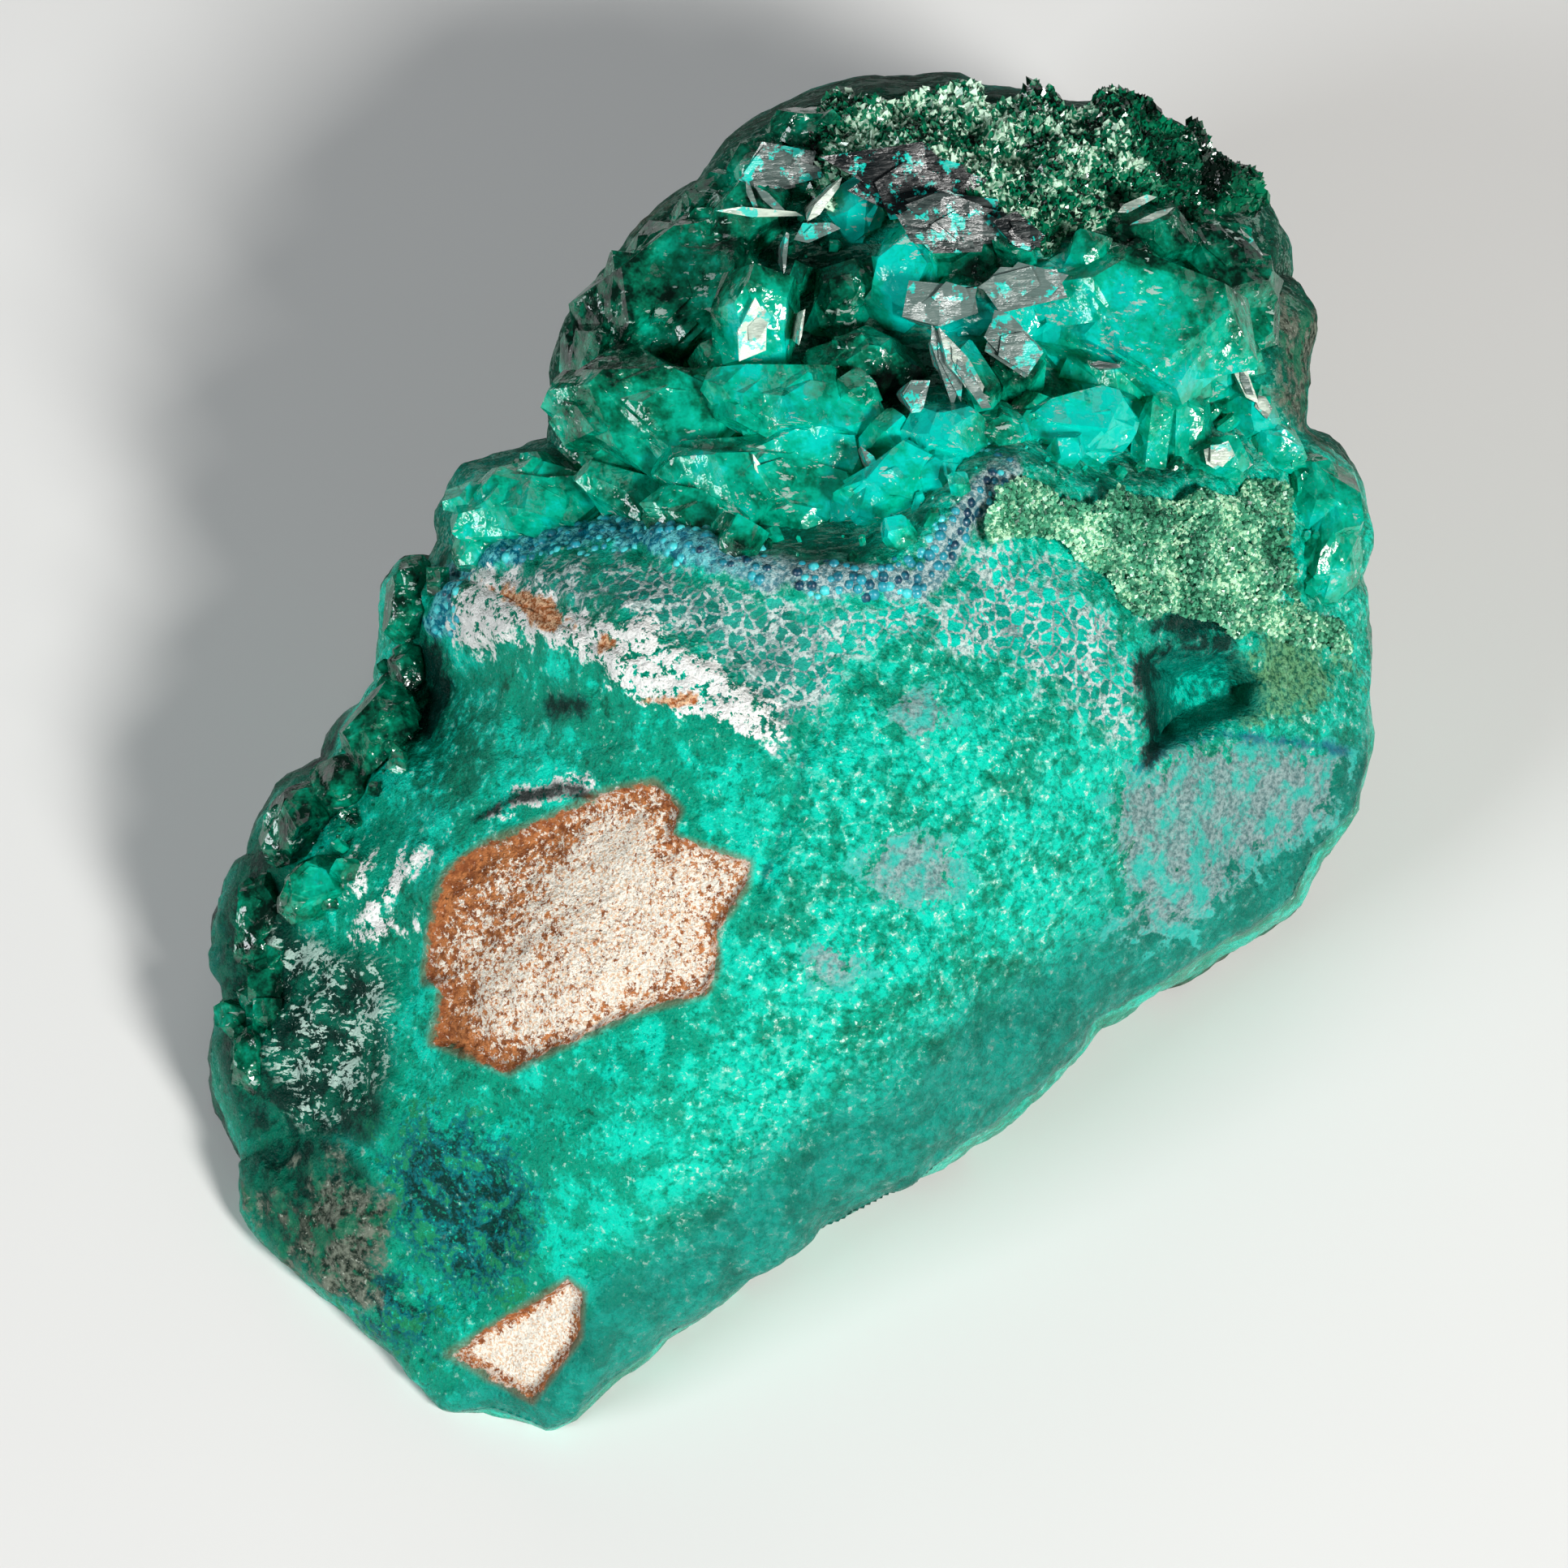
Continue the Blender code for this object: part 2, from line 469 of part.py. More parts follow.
def main():
    """Build the specimen's pieces."""
    clear_scene()
    emerald = principled("dioptase", (0.0, 0.33, 0.17), 0.08, 0.5)
    turquoise = principled("chrysocolla_matrix", (0.05, 0.55, 0.48), 0.45)
    fine_green = principled("fine_druse", (0.05, 0.42, 0.22), 0.25)
    pale_green = principled("pale_druse", (0.35, 0.65, 0.38), 0.40)
    cut_base(build_block("matrix_rock", 0.0, turquoise))
    clearance = make_cutter(build_block("matrix_clearance", GAP))
    terrace_rows = list(TERRACE_CRYSTALS) + druse_rows(TERRACE, 20, 0.75, 6, TERRACE_CRYSTALS)
    around_terrace = crystal_group("around_terrace", terrace_rows, GAP)
    around_right = crystal_group("around_right", RIGHT_CRYSTALS, GAP)
    build_cluster(
        "dioptase_cluster_terrace", TERRACE, 0.7, terrace_rows, clearance, [around_right], emerald
    )
    build_cluster("dioptase_cluster_left", LEFT_FLANK, 0.5, LEFT_CRYSTALS, clearance, [], emerald)
    build_cluster("dioptase_cluster_right", RIGHT_RIM, 0.5, RIGHT_CRYSTALS, clearance, [], emerald)
    build_cluster(
        "micro_druse_crown", CROWN, 0.5, druse_rows(CROWN, 20, 0.40, 3), clearance, [around_terrace],
        fine_green,
    )
    build_cluster(
        "pale_druse_crust", PALE, 0.45, druse_rows(PALE, 14, 0.34, 8), clearance,
        [around_terrace, around_right], pale_green,
    )


main()
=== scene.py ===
"""The looks of a dioptase specimen: emerald crystals and druse on a copper-stained matrix.

The specimen is laid out on its display face, which leans back. A layout point is (across, up,
toward) in millimetres: across to the right, up along the face, toward along its normal. The
DisplayFace class turns layout points into world metres, and every surface starts from it.
"""
import logging
import math
from collections.abc import Callable
from dataclasses import dataclass, field
from enum import Enum
from functools import partial
from itertools import combinations

import bmesh
import bpy
import numpy as np
from mathutils import Matrix, Vector


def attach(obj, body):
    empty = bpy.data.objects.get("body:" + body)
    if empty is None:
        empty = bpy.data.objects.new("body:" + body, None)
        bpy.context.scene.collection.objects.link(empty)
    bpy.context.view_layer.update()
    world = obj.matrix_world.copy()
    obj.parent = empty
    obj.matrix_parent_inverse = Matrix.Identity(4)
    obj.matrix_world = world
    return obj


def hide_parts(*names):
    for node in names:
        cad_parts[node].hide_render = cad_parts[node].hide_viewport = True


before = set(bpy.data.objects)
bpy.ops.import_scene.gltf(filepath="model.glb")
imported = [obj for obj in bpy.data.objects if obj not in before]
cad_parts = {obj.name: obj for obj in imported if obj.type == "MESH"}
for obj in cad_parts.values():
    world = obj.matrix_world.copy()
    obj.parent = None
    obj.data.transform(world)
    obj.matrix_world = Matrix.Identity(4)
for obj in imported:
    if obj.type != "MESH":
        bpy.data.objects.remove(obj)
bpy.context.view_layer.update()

MM = 0.001
LOG = logging.getLogger("dioptase")
Socket = bpy.types.NodeSocket

OUTLINE = (
    (5.3, 21.6), (6.2, 21.2), (8.3, 21.0), (10.5, 20.8), (11.8, 20.5), (13.1, 19.9), (14.1, 19.1),
    (14.9, 18.2), (15.4, 17.1), (15.4, 16.4), (15.2, 15.7), (15.8, 15.4), (16.3, 14.4), (16.2, 13.0),
    (16.1, 11.0), (16.9, 10.4), (17.4, 9.7), (18.0, 8.2), (17.9, 7.1), (17.6, 6.3), (17.9, 5.4),
    (18.1, 4.0), (17.9, 1.6), (17.4, -0.8), (16.4, -2.1), (15.7, -3.5), (13.3, -4.8), (10.8, -6.3),
    (9.5, -7.2), (9.0, -8.1), (7.2, -9.6), (5.3, -11.3), (4.6, -12.0), (1.2, -13.8), (0.5, -14.4),
    (-1.6, -15.6), (-3.9, -16.9), (-5.4, -18.4), (-6.5, -19.7), (-7.3, -19.9), (-8.2, -19.6),
    (-9.2, -19.2), (-10.5, -19.1), (-11.3, -18.1), (-12.2, -17.1), (-14.2, -15.6), (-15.4, -14.6),
    (-16.6, -13.1), (-16.4, -11.7), (-17.1, -10.8), (-17.4, -9.2), (-16.9, -6.7), (-17.2, -4.6),
    (-16.6, -3.0), (-16.1, -2.4), (-15.9, -1.2), (-15.3, -0.3), (-13.9, 0.6), (-13.8, 1.6),
    (-12.4, 3.1), (-12.3, 4.4), (-12.3, 6.1), (-11.8, 6.8), (-10.9, 6.8), (-10.6, 7.5), (-10.7, 8.4),
    (-9.8, 9.7), (-8.7, 10.1), (-7.0, 10.4), (-6.9, 11.2), (-6.9, 12.7), (-6.6, 14.2), (-5.2, 16.0),
    (-4.3, 17.0), (-2.4, 18.4), (-2.0, 19.1), (-1.4, 19.9), (0.8, 20.9), (2.4, 21.3), (3.9, 21.4),
)
TERRACE = (  # the step above the ridge that the large crystals fill
    (-11.2, 7.3), (-9.2, 7.5), (-6.9, 8.0), (-4.9, 8.2), (-2.9, 7.9), (-1.4, 7.2), (0.3, 6.8),
    (2.1, 6.8), (3.6, 7.5), (4.8, 8.7), (5.7, 9.8), (7.3, 10.2), (9.3, 9.4), (11.6, 9.6),
    (13.3, 9.7), (14.8, 10.2), (15.6, 11.2), (14.7, 14.2), (14.5, 15.9), (12.8, 17.0),
    (10.8, 17.2), (10.2, 16.2), (8.1, 16.0), (6.6, 16.9), (5.1, 18.1), (3.6, 19.2), (1.9, 19.1),
    (0.6, 20.2), (-1.2, 19.4), (-2.6, 18.0), (-4.5, 16.4), (-6.3, 14.5), (-6.9, 12.9), (-7.1, 10.9),
    (-9.6, 9.4), (-10.8, 8.2),
)
RIDGE = (  # the crest between the terrace and the smooth lower face
    (-10.5, 6.3), (-9.0, 7.2), (-6.9, 7.8), (-4.9, 7.9), (-2.9, 7.5), (-1.4, 6.9), (0.2, 6.5),
    (2.1, 6.5), (3.8, 7.2), (5.0, 8.3), (6.0, 9.3), (7.4, 9.6), (9.4, 8.9), (11.4, 9.1), (12.9, 9.2),
)
CAVITY = (  # the open pocket at the right
    (10.7, 4.2), (12.1, 4.5), (14.1, 4.2), (14.9, 3.3), (14.7, 2.0), (13.3, 1.5), (11.8, 0.8),
    (10.9, 0.8), (10.7, 2.4),
)
CAVITY_EDGE = ((11.2, 0.9), (11.0, 2.4), (10.9, 4.0), (12.1, 4.5), (13.6, 4.4))  # its left and upper side, dark with painted shadow under the pocket's overhanging rim
BROWN_PATCH = (  # host rock laid bare in the middle of the face
    (-11.2, -6.1), (-11.1, -5.3), (-10.2, -2.9), (-9.2, -1.9), (-5.7, -0.3), (-3.9, 0.1), (-3.1, -0.8),
    (-3.4, -1.6), (-1.0, -2.4), (-1.1, -3.1), (-2.1, -4.6), (-2.0, -5.6), (-2.4, -6.5), (-4.7, -7.1),
    (-8.4, -8.9), (-9.9, -8.3), (-10.9, -8.0), (-10.5, -6.2),
)
CREAM_PATCH = (  # the small bare facet at the foot
    (-10.5, -17.6), (-6.7, -15.3), (-6.2, -15.7), (-6.3, -17.1), (-7.8, -19.1), (-9.2, -18.4),
)
QUARTZ = (  # the white granular streak under the ridge
    (-10.3, 5.0), (-10.2, 6.2), (-9.2, 6.7), (-7.9, 6.3), (-6.7, 5.5), (-5.5, 5.1), (-4.2, 5.0),
    (-2.9, 4.2), (-1.6, 3.4), (-0.4, 2.7), (0.3, 1.9), (-0.1, 1.3), (-1.1, 1.3), (-2.6, 1.9),
    (-4.2, 2.4), (-5.4, 3.4), (-6.7, 4.1), (-8.2, 4.4), (-9.2, 4.0), (-9.9, 4.2),
)
NETWORK = (  # fused cells with pale walls, below the ridge
    (-10.2, 6.6), (-7.2, 7.3), (-3.4, 7.1), (-0.4, 6.2), (2.1, 5.9), (4.3, 6.0), (5.6, 7.6), (6.8, 8.6),
    (7.4, 7.4), (9.1, 6.6), (10.4, 5.0), (10.9, 4.2), (11.7, 1.8), (11.0, 0.4), (9.3, 1.8), (7.1, 2.9),
    (4.6, 3.6), (2.4, 3.9), (1.2, 1.6), (0.2, 0.4), (-0.9, 1.2), (-2.6, 3.3), (-5.2, 4.6), (-8.2, 5.2),
)
NAVY_LINE = (  # the dark blue band of grains along the ridge
    (-10.5, 5.0), (-10.2, 6.3), (-9.2, 7.1), (-7.2, 7.7), (-5.2, 7.8), (-3.4, 7.5), (-2.1, 6.9),
    (-0.4, 6.5), (1.9, 6.3), (4.3, 6.3), (5.0, 7.2), (5.6, 8.2), (6.3, 9.2), (6.8, 9.8),
)
LAVENDER = (  # the grey-lilac plate under the pocket
    (10.9, 0.5), (11.8, 1.2), (13.3, 1.5), (14.8, 1.4), (17.1, 1.0), (17.2, 0.1), (16.9, -1.4),
    (15.8, -2.1), (13.3, -2.9), (11.8, -3.6), (10.6, -3.9), (10.1, -2.4), (9.8, -0.8), (10.2, 0.3),
)
FLANK = (  # the left edge, dark with painted shade on the side turned from the light
    (-12.8, 0.8), (-13.9, -0.6), (-14.6, -2.3), (-14.3, -4.2), (-13.0, -4.9), (-11.9, -5.0), (-11.5, -6.2),
    (-11.7, -8.1), (-11.4, -10.4), (-12.2, -11.8), (-16.9, -11.5), (-17.8, -8.3), (-17.8, -4.6),
    (-16.9, -2.1), (-15.3, 0.4), (-13.9, 1.4),
)
FLECKED = (  # rows of pale flecks on that edge
    (-15.9, -3.9), (-14.4, -4.4), (-12.9, -5.2), (-12.0, -5.3), (-11.7, -6.6), (-11.9, -8.3), (-12.4, -9.9),
    (-13.7, -10.9), (-15.2, -10.7), (-16.0, -8.3), (-16.2, -5.6),
)
FOOT = (  # brown and grey host rock at the lower left
    (-16.6, -12.2), (-14.2, -11.8), (-11.9, -12.6), (-11.5, -14.3), (-12.3, -16.1), (-13.7, -16.0),
    (-15.4, -15.0), (-16.8, -13.3),
)
CROWN = (  # the boss at the top, coated with fine crystals
    (1.9, 21.0), (5.3, 21.8), (8.3, 21.2), (10.8, 20.9), (13.6, 19.6), (14.6, 18.2), (14.6, 16.6),
    (13.3, 17.4), (12.6, 17.6), (10.6, 17.8), (9.6, 16.6), (8.1, 16.5), (6.8, 17.2), (5.5, 18.4),
    (3.9, 19.6), (2.2, 19.6),
)
PALE = (  # the pale granular crust between the ridge and the pocket
    (6.0, 9.2), (7.3, 9.6), (9.1, 8.8), (11.6, 9.0), (13.6, 9.1), (15.2, 9.2), (15.6, 8.2),
    (15.6, 6.7), (15.8, 5.5), (17.0, 4.9), (17.4, 4.2), (15.8, 3.9), (14.1, 4.4), (12.1, 4.9),
    (10.6, 5.3), (9.3, 6.7), (7.8, 7.5), (6.1, 7.5),
)
UPLAND = (  # everything above the ridge
    (-13.0, 7.0), *RIDGE, (16.4, 9.9), (21.0, 12.0), (20.0, 25.0), (-16.0, 25.0),
)
RIGHT_HOST = ((14.9, 15.6), (17.2, 15.4), (17.2, 10.6), (15.7, 10.9), (15.0, 12.7))  # bare rim
LEFT_HOST = ((-4.9, 15.9), (-4.4, 17.5), (-3.3, 18.3), (-2.9, 17.4), (-3.6, 15.9), (-4.4, 15.2))
CRACK = ((-9.4, -1.2), (-8.2, -0.5), (-6.7, -0.2), (-5.5, -0.5))  # dark gap over the bare patch
VEINS = (  # pale threads over the bare patch
    ((-12.9, -4.0), (-12.0, -3.2), (-11.3, -2.4), (-10.8, -1.9)),
    ((-9.4, -1.35), (-8.2, -0.6), (-6.7, -0.1), (-5.15, 0.15)),
)
SEAM = ((0.8, 1.9), (0.5, 0.1), (-0.1, -1.6), (-0.8, -3.4))  # the healed crack down the face
SWELLS = (  # centre across, centre up, half width, half height, turn in degrees, rise
    (-7.0, 5.6, 6.0, 2.8, -28.0, 2.6),
    (-11.4, 2.9, 1.4, 2.2, 0.0, -2.4),
    (-11.5, 5.8, 1.0, 1.4, 0.0, 1.0),
    (-12.4, 1.2, 1.7, 1.5, 0.0, 1.2),
    (-14.9, -1.1, 1.4, 1.8, 0.0, 1.2),
    (-16.2, -4.1, 1.2, 1.7, 0.0, 1.0),
    (-16.4, -8.6, 1.1, 1.9, 0.0, 0.8),
    (-13.4, -3.4, 2.5, 2.0, 20.0, 0.8),
    (-6.0, -4.6, 5.0, 3.6, 25.0, 0.5),
    (-9.4, -13.4, 1.5, 2.6, 0.0, -0.9),
    (7.0, 19.0, 5.0, 2.4, 0.0, 1.0),
    (11.5, 11.5, 3.5, 3.0, 0.0, -1.2),
)

RIGHT_RIM = (  # the short run of crystals that closes the right edge
    (15.9, 9.8), (16.8, 9.8), (17.5, 8.2), (17.4, 7.1), (17.1, 6.2), (16.6, 5.7), (16.0, 5.9), (15.8, 7.6),
)
LEFT_FLANK = (  # the row of crystal lumps down the left edge
    (-11.0, 5.6), (-11.7, 6.1), (-12.0, 4.4), (-12.1, 3.1), (-13.4, 1.6), (-13.6, 0.8), (-15.0, -0.2),
    (-15.6, -1.2), (-15.9, -2.6), (-16.5, -4.6), (-16.3, -6.7), (-16.7, -8.8), (-16.2, -10.0),
    (-15.4, -8.1), (-15.0, -5.3), (-13.6, -3.6), (-12.9, -1.4), (-11.8, 0.1), (-10.8, 1.6),
    (-10.9, 3.4),
)
# Grown lumps of crystal: across, up, how proud, half length, half width, turn in degrees, how bright: painted
# light coming through when high, painted shade when low.
TERRACE_LUMPS = (
    (-3.5, 14.7, 0.3, 3.2, 1.9, 50, 0.10), (-5.4, 12.5, 0.1, 2.0, 1.3, 75, 0.06),
    (-1.3, 17.0, 0.2, 1.9, 1.3, 40, 0.18), (-0.1, 18.7, 0.2, 1.7, 1.0, 10, 0.26),
    (-5.5, 14.4, 0.0, 1.7, 0.8, 62, 0.06), (-4.0, 16.2, 0.0, 1.5, 0.8, 50, 0.05),
    (-6.3, 13.2, -0.3, 1.2, 0.6, 85, 0.05), (-6.3, 11.4, -0.2, 1.0, 0.6, 80, 0.12),
    (-2.5, 17.6, 0.0, 1.3, 0.8, 45, 0.10), (-0.9, 19.2, 0.0, 1.1, 0.7, 35, 0.14),
    (1.0, 20.1, 0.0, 1.3, 0.7, 10, 0.16), (-0.9, 14.0, 1.0, 1.5, 1.0, 80, 0.95),
    (0.1, 8.2, 0.0, 1.8, 0.7, 0, 0.50), (2.3, 8.5, 0.0, 1.1, 0.6, 12, 0.78),
    (-2.8, 8.2, 0.0, 1.7, 0.6, -6, 0.34), (4.6, 9.5, 0.1, 1.0, 0.7, 35, 0.85),
    (-3.9, 11.0, 0.9, 3.0, 1.9, -6, 0.40), (-7.7, 8.5, 0.5, 2.4, 1.4, -3, 0.52),
    (-9.3, 7.4, 0.2, 1.1, 0.7, 30, 0.44), (0.3, 11.5, 0.6, 2.6, 1.3, -10, 0.74),
    (-0.9, 9.4, 0.5, 2.8, 1.4, -8, 0.46), (-4.4, 8.9, 0.3, 1.8, 0.8, -12, 0.22),
    (3.3, 8.9, 0.5, 1.6, 1.1, 25, 0.76), (4.9, 10.7, 0.9, 1.4, 1.1, 10, 1.00),
    (2.4, 12.9, 0.0, 1.5, 1.2, 0, 0.06), (3.8, 15.4, 0.5, 1.6, 1.2, 80, 0.95),
    (2.3, 17.7, 0.6, 1.1, 0.8, 70, 0.98), (1.9, 14.9, 0.2, 1.4, 1.0, 60, 0.20),
    (5.7, 16.0, 0.3, 1.6, 1.0, -10, 0.10), (7.1, 12.7, 0.2, 1.3, 0.9, 80, 0.08),
    (6.3, 14.4, 0.7, 1.7, 1.0, 0, 1.00), (6.6, 10.9, 0.3, 1.0, 0.7, -20, 0.30),
    (10.6, 13.8, 0.8, 3.4, 2.4, -15, 0.66), (8.8, 10.9, 0.9, 2.3, 1.1, 4, 1.00),
    (8.1, 14.7, 0.5, 1.5, 1.1, 60, 0.95), (13.0, 13.2, 0.4, 1.6, 1.2, -55, 0.58),
    (13.3, 16.3, 0.2, 2.0, 1.1, -35, 0.05), (11.0, 16.9, 0.1, 1.9, 0.9, -8, 0.05),
    (14.4, 14.4, 0.3, 1.3, 0.8, -70, 0.22), (14.3, 11.4, 0.4, 1.2, 0.9, -40, 0.62),
    (15.2, 10.3, 0.2, 1.0, 0.7, -35, 0.80), (13.4, 9.9, 0.4, 1.1, 0.7, 0, 0.52),
)
LEFT_LUMPS = (
    (-11.6, 5.5, 0.2, 1.3, 0.7, 75, 0.04), (-11.5, 3.5, 0.2, 0.9, 0.7, 90, 0.02),
    (-12.4, 1.8, 0.5, 1.5, 1.0, 55, 0.14), (-13.6, 0.0, 0.2, 1.1, 0.8, 50, 0.10),
    (-15.0, -1.3, 0.3, 1.6, 0.9, 58, 0.03), (-14.5, -3.2, 0.3, 1.3, 0.9, 40, 0.30),
    (-16.1, -4.0, 0.1, 1.4, 0.7, 80, 0.06), (-15.9, -6.4, 0.1, 1.3, 0.7, 85, 0.08),
    (-16.4, -8.5, 0.0, 1.3, 0.6, 92, 0.10),
)
RIGHT_LUMPS = (
    (16.5, 8.7, -0.1, 1.6, 1.0, -60, 0.50), (16.7, 6.9, -0.1, 1.5, 1.0, -90, 0.60),
)
LUMPS = TERRACE_LUMPS + LEFT_LUMPS + RIGHT_LUMPS
# Plain-faced crystals: across, up, how proud, radius, half length, axis in the layout, twist in degrees.
CRYSTALS = (
    (-0.8, 14.2, 2.4, 1.30, 2.2, (-0.05, 0.88, 0.47), 10),
    (11.3, 10.4, 1.0, 0.55, 1.9, (0.10, 0.95, 0.30), 20),
    (12.0, 10.6, 1.1, 0.50, 1.9, (0.02, 0.97, 0.25), 35),
    (12.6, 10.5, 1.0, 0.55, 1.7, (-0.08, 0.96, 0.28), 5),
    (5.8, 12.6, 1.9, 0.50, 1.5, (0.50, -0.78, 0.40), 15),
    (1.9, 11.9, 1.0, 0.70, 1.3, (0.70, 0.50, 0.50), 30),
    (-1.9, 12.7, 1.0, 0.65, 1.4, (-0.60, 0.60, 0.50), 12),
    (9.3, 16.2, 0.8, 0.60, 1.1, (0.30, 0.60, 0.70), 44),
    (3.0, 10.6, 0.9, 0.60, 1.2, (0.50, 0.60, 0.60), 22),
    (7.1, 16.6, 0.7, 0.55, 1.1, (-0.30, 0.50, 0.80), 9),
    (-6.1, 10.2, 0.8, 0.55, 1.0, (-0.50, 0.60, 0.60), 38),
    (14.0, 12.9, 0.8, 0.60, 1.1, (0.60, 0.30, 0.70), 17),
)
GLEAMING = CRYSTALS[0]  # the crystal with a face turned to throw the key light at the viewer
# Cleaved plates and blades: across, up, half length, half width, turn in degrees, lift, steps, how pale.
PLATES = (
    (4.95, 14.8, 1.35, 0.75, 5, 2.7, 3, 0.85), (7.40, 15.35, 1.35, 0.62, 5, 2.6, 3, 0.80),
    (7.00, 13.7, 1.05, 0.75, -40, 2.7, 3, 0.85), (5.60, 12.7, 1.35, 0.34, -60, 2.9, 3, 0.95),
    (4.95, 13.0, 1.15, 0.24, -66, 2.8, 2, 0.80), (4.10, 12.0, 0.62, 0.42, 70, 2.6, 2, 0.85),
    (4.10, 18.4, 1.90, 1.00, -8, 1.7, 7, 0.10), (5.35, 17.3, 1.90, 0.90, -14, 1.9, 8, 0.34),
    (7.20, 17.0, 0.80, 0.45, -20, 2.1, 3, 0.20), (-0.10, 18.9, 1.40, 0.80, 10, 1.7, 4, 0.52),
    (-0.65, 17.6, 1.40, 0.12, -8, 2.3, 1, 1.10), (-0.45, 18.0, 0.70, 0.14, -55, 2.4, 1, 1.05),
    (-1.00, 18.1, 0.60, 0.10, -65, 2.2, 1, 0.95), (1.30, 18.0, 0.90, 0.13, 38, 2.4, 1, 1.25),
    (0.95, 17.0, 0.80, 0.26, 10, 2.2, 2, 0.80), (0.05, 16.4, 0.80, 0.08, 88, 2.2, 1, 1.05),
    (10.85, 17.9, 0.80, 0.15, 30, 1.9, 1, 1.20), (11.40, 17.5, 0.70, 0.10, 15, 1.8, 1, 0.95),
    (-0.80, 9.75, 0.36, 0.10, -65, 2.3, 1, 1.40), (2.65, 9.95, 0.45, 0.14, -60, 2.1, 1, 0.95),
    (13.35, 10.1, 0.55, 0.40, 40, 1.9, 3, 1.10), (14.10, 9.8, 0.30, 0.20, 30, 1.6, 1, 1.20),
    (14.20, 12.4, 0.60, 0.20, -70, 1.9, 2, 1.05), (14.80, 11.6, 0.40, 0.25, -50, 1.7, 2, 1.00),
    (14.45, 16.6, 0.70, 0.10, -60, 1.5, 1, 1.10), (14.80, 15.9, 0.50, 0.09, -65, 1.3, 1, 1.05),
    # on this line: a thin pale blade for the bright striation on the leaning crystal's right side, its
    # paleness partly painted highlight, and a wide pale plate that is a painted highlight on its left face
    (0.55, 14.1, 0.62, 0.05, 80, 3.3, 1, 1.40), (-1.00, 13.9, 0.95, 0.42, 78, 3.75, 2, 1.30),
    (-12.9, 2.1, 0.50, 0.12, 70, 1.6, 1, 0.90),
    (-15.2, -0.9, 0.45, 0.10, 35, 1.4, 1, 1.10), (-3.3, 9.2, 0.60, 0.14, -20, 1.7, 1, 0.60),
    (9.90, 12.9, 0.60, 0.12, 4, 3.3, 1, 0.50), (-6.3, 10.6, 0.30, 0.08, 40, 1.8, 1, 1.20),
)
KEY_PLACE = (0.28, -0.34, 0.34)  # the key light, in metres
# Coloured regions of the face, each the union of what these three tables give it.
REGION_OUTLINES = {
    "brown": (BROWN_PATCH,), "cream": (CREAM_PATCH,), "lavender": (LAVENDER,), "quartz": (QUARTZ,),
    "network": (NETWORK,), "flank": (FLANK,), "flecked": (FLECKED,), "cavity": (CAVITY,),
    "host": (FOOT, RIGHT_HOST, LEFT_HOST), "ground": (UPLAND,),
}
REGION_LINES = {  # half width and corners of each line
    "crack": ((0.3, CRACK),), "rim_line": ((0.25, LAVENDER[:5]),), "navy": ((0.6, NAVY_LINE),),
    # the dark line along the pocket's edge is painted shadow
    "quartz": ((0.25, VEINS[0]), (0.25, VEINS[1])), "seam": ((0.15, SEAM),), "dark": ((0.55, CAVITY_EDGE),),
}
REGION_SPOTS = {  # centre, half axes and turn in degrees of each ellipse
    "lavender": (((4.1, 2.1), (1.0, 0.9), 0), ((3.9, -2.6), (1.6, 1.25), 0), ((1.4, -5.4), (0.9, 0.8), 0),
                 ((12.4, -3.3), (2.6, 1.0), 28)),
    "rust": (((-7.5, 5.3), (1.4, 0.5), -30), ((-5.3, 4.2), (0.3, 0.25), 0), ((-3.5, 2.6), (0.7, 0.25), 0)),
    "quartz": (((-13.3, -2.9), (1.1, 0.5), 35), ((-12.5, -4.6), (0.9, 0.35), 20)),
    # dark spots: painted shadow in the hollow by the left crystals and under the pocket's upper rim, and two
    # more dark spots
    "dark": (((-11.2, 2.9), (1.3, 2.1), 0), ((-6.6, 2.4), (1.05, 0.65), -8), ((12.6, 5.0), (2.6, 0.7), 0),
             ((-12.3, -15.7), (1.9, 0.6), -42)),
    "flank": (((-14.3, -12.7), (3.4, 2.4), 122),),
    "flecked": (((-12.3, 1.2), (1.2, 1.0), 0),),
    "teal": (((-9.9, -12.9), (2.6, 3.4), 20), ((-12.2, -16.0), (2.6, 1.3), -45)),
    # painted shade that darkens the face toward the hollow at the left
    "dusk": (((-10.6, 1.4), (2.4, 3.6), 15),),
    "pool": (((12.5, 3.0), (1.5, 0.8), 8),),
    "olive": (((15.3, 3.3), (2.2, 1.5), 20),),
}
REGION_EDGES = {  # how far noise moves each region's edge, and how wide the edge is, in millimetres
    "band": (1.6, 2.6), "flank": (0.9, 1.0), "flecked": (1.0, 0.6), "lavender": (2.4, 0.3),
    "rim_line": (0.4, 0.3), "network": (2.6, 1.3), "navy": (0.7, 0.25), "quartz": (1.6, 0.25),
    "rust": (0.6, 0.15), "seam": (0.35, 0.2), "dusk": (1.2, 1.6), "teal": (3.0, 0.8), "olive": (2.0, 0.6),
    "cavity": (0.3, 0.3), "pool": (1.2, 0.4), "dark": (0.9, 0.5), "crack": (0.5, 0.3),
    "ground": (0.8, 0.8), "brown": (0.34, 0.08), "cream": (0.34, 0.08), "host": (5.0, 1.1),
}
# Noises that raise the block's skin: rise, size of a feature and seed.
BROAD_RELIEF = ((0.30, 3.6, 5), (0.14, 1.7, 9))
FINE_RELIEF = ((0.07, 0.8, 31), (0.035, 0.38, 37))


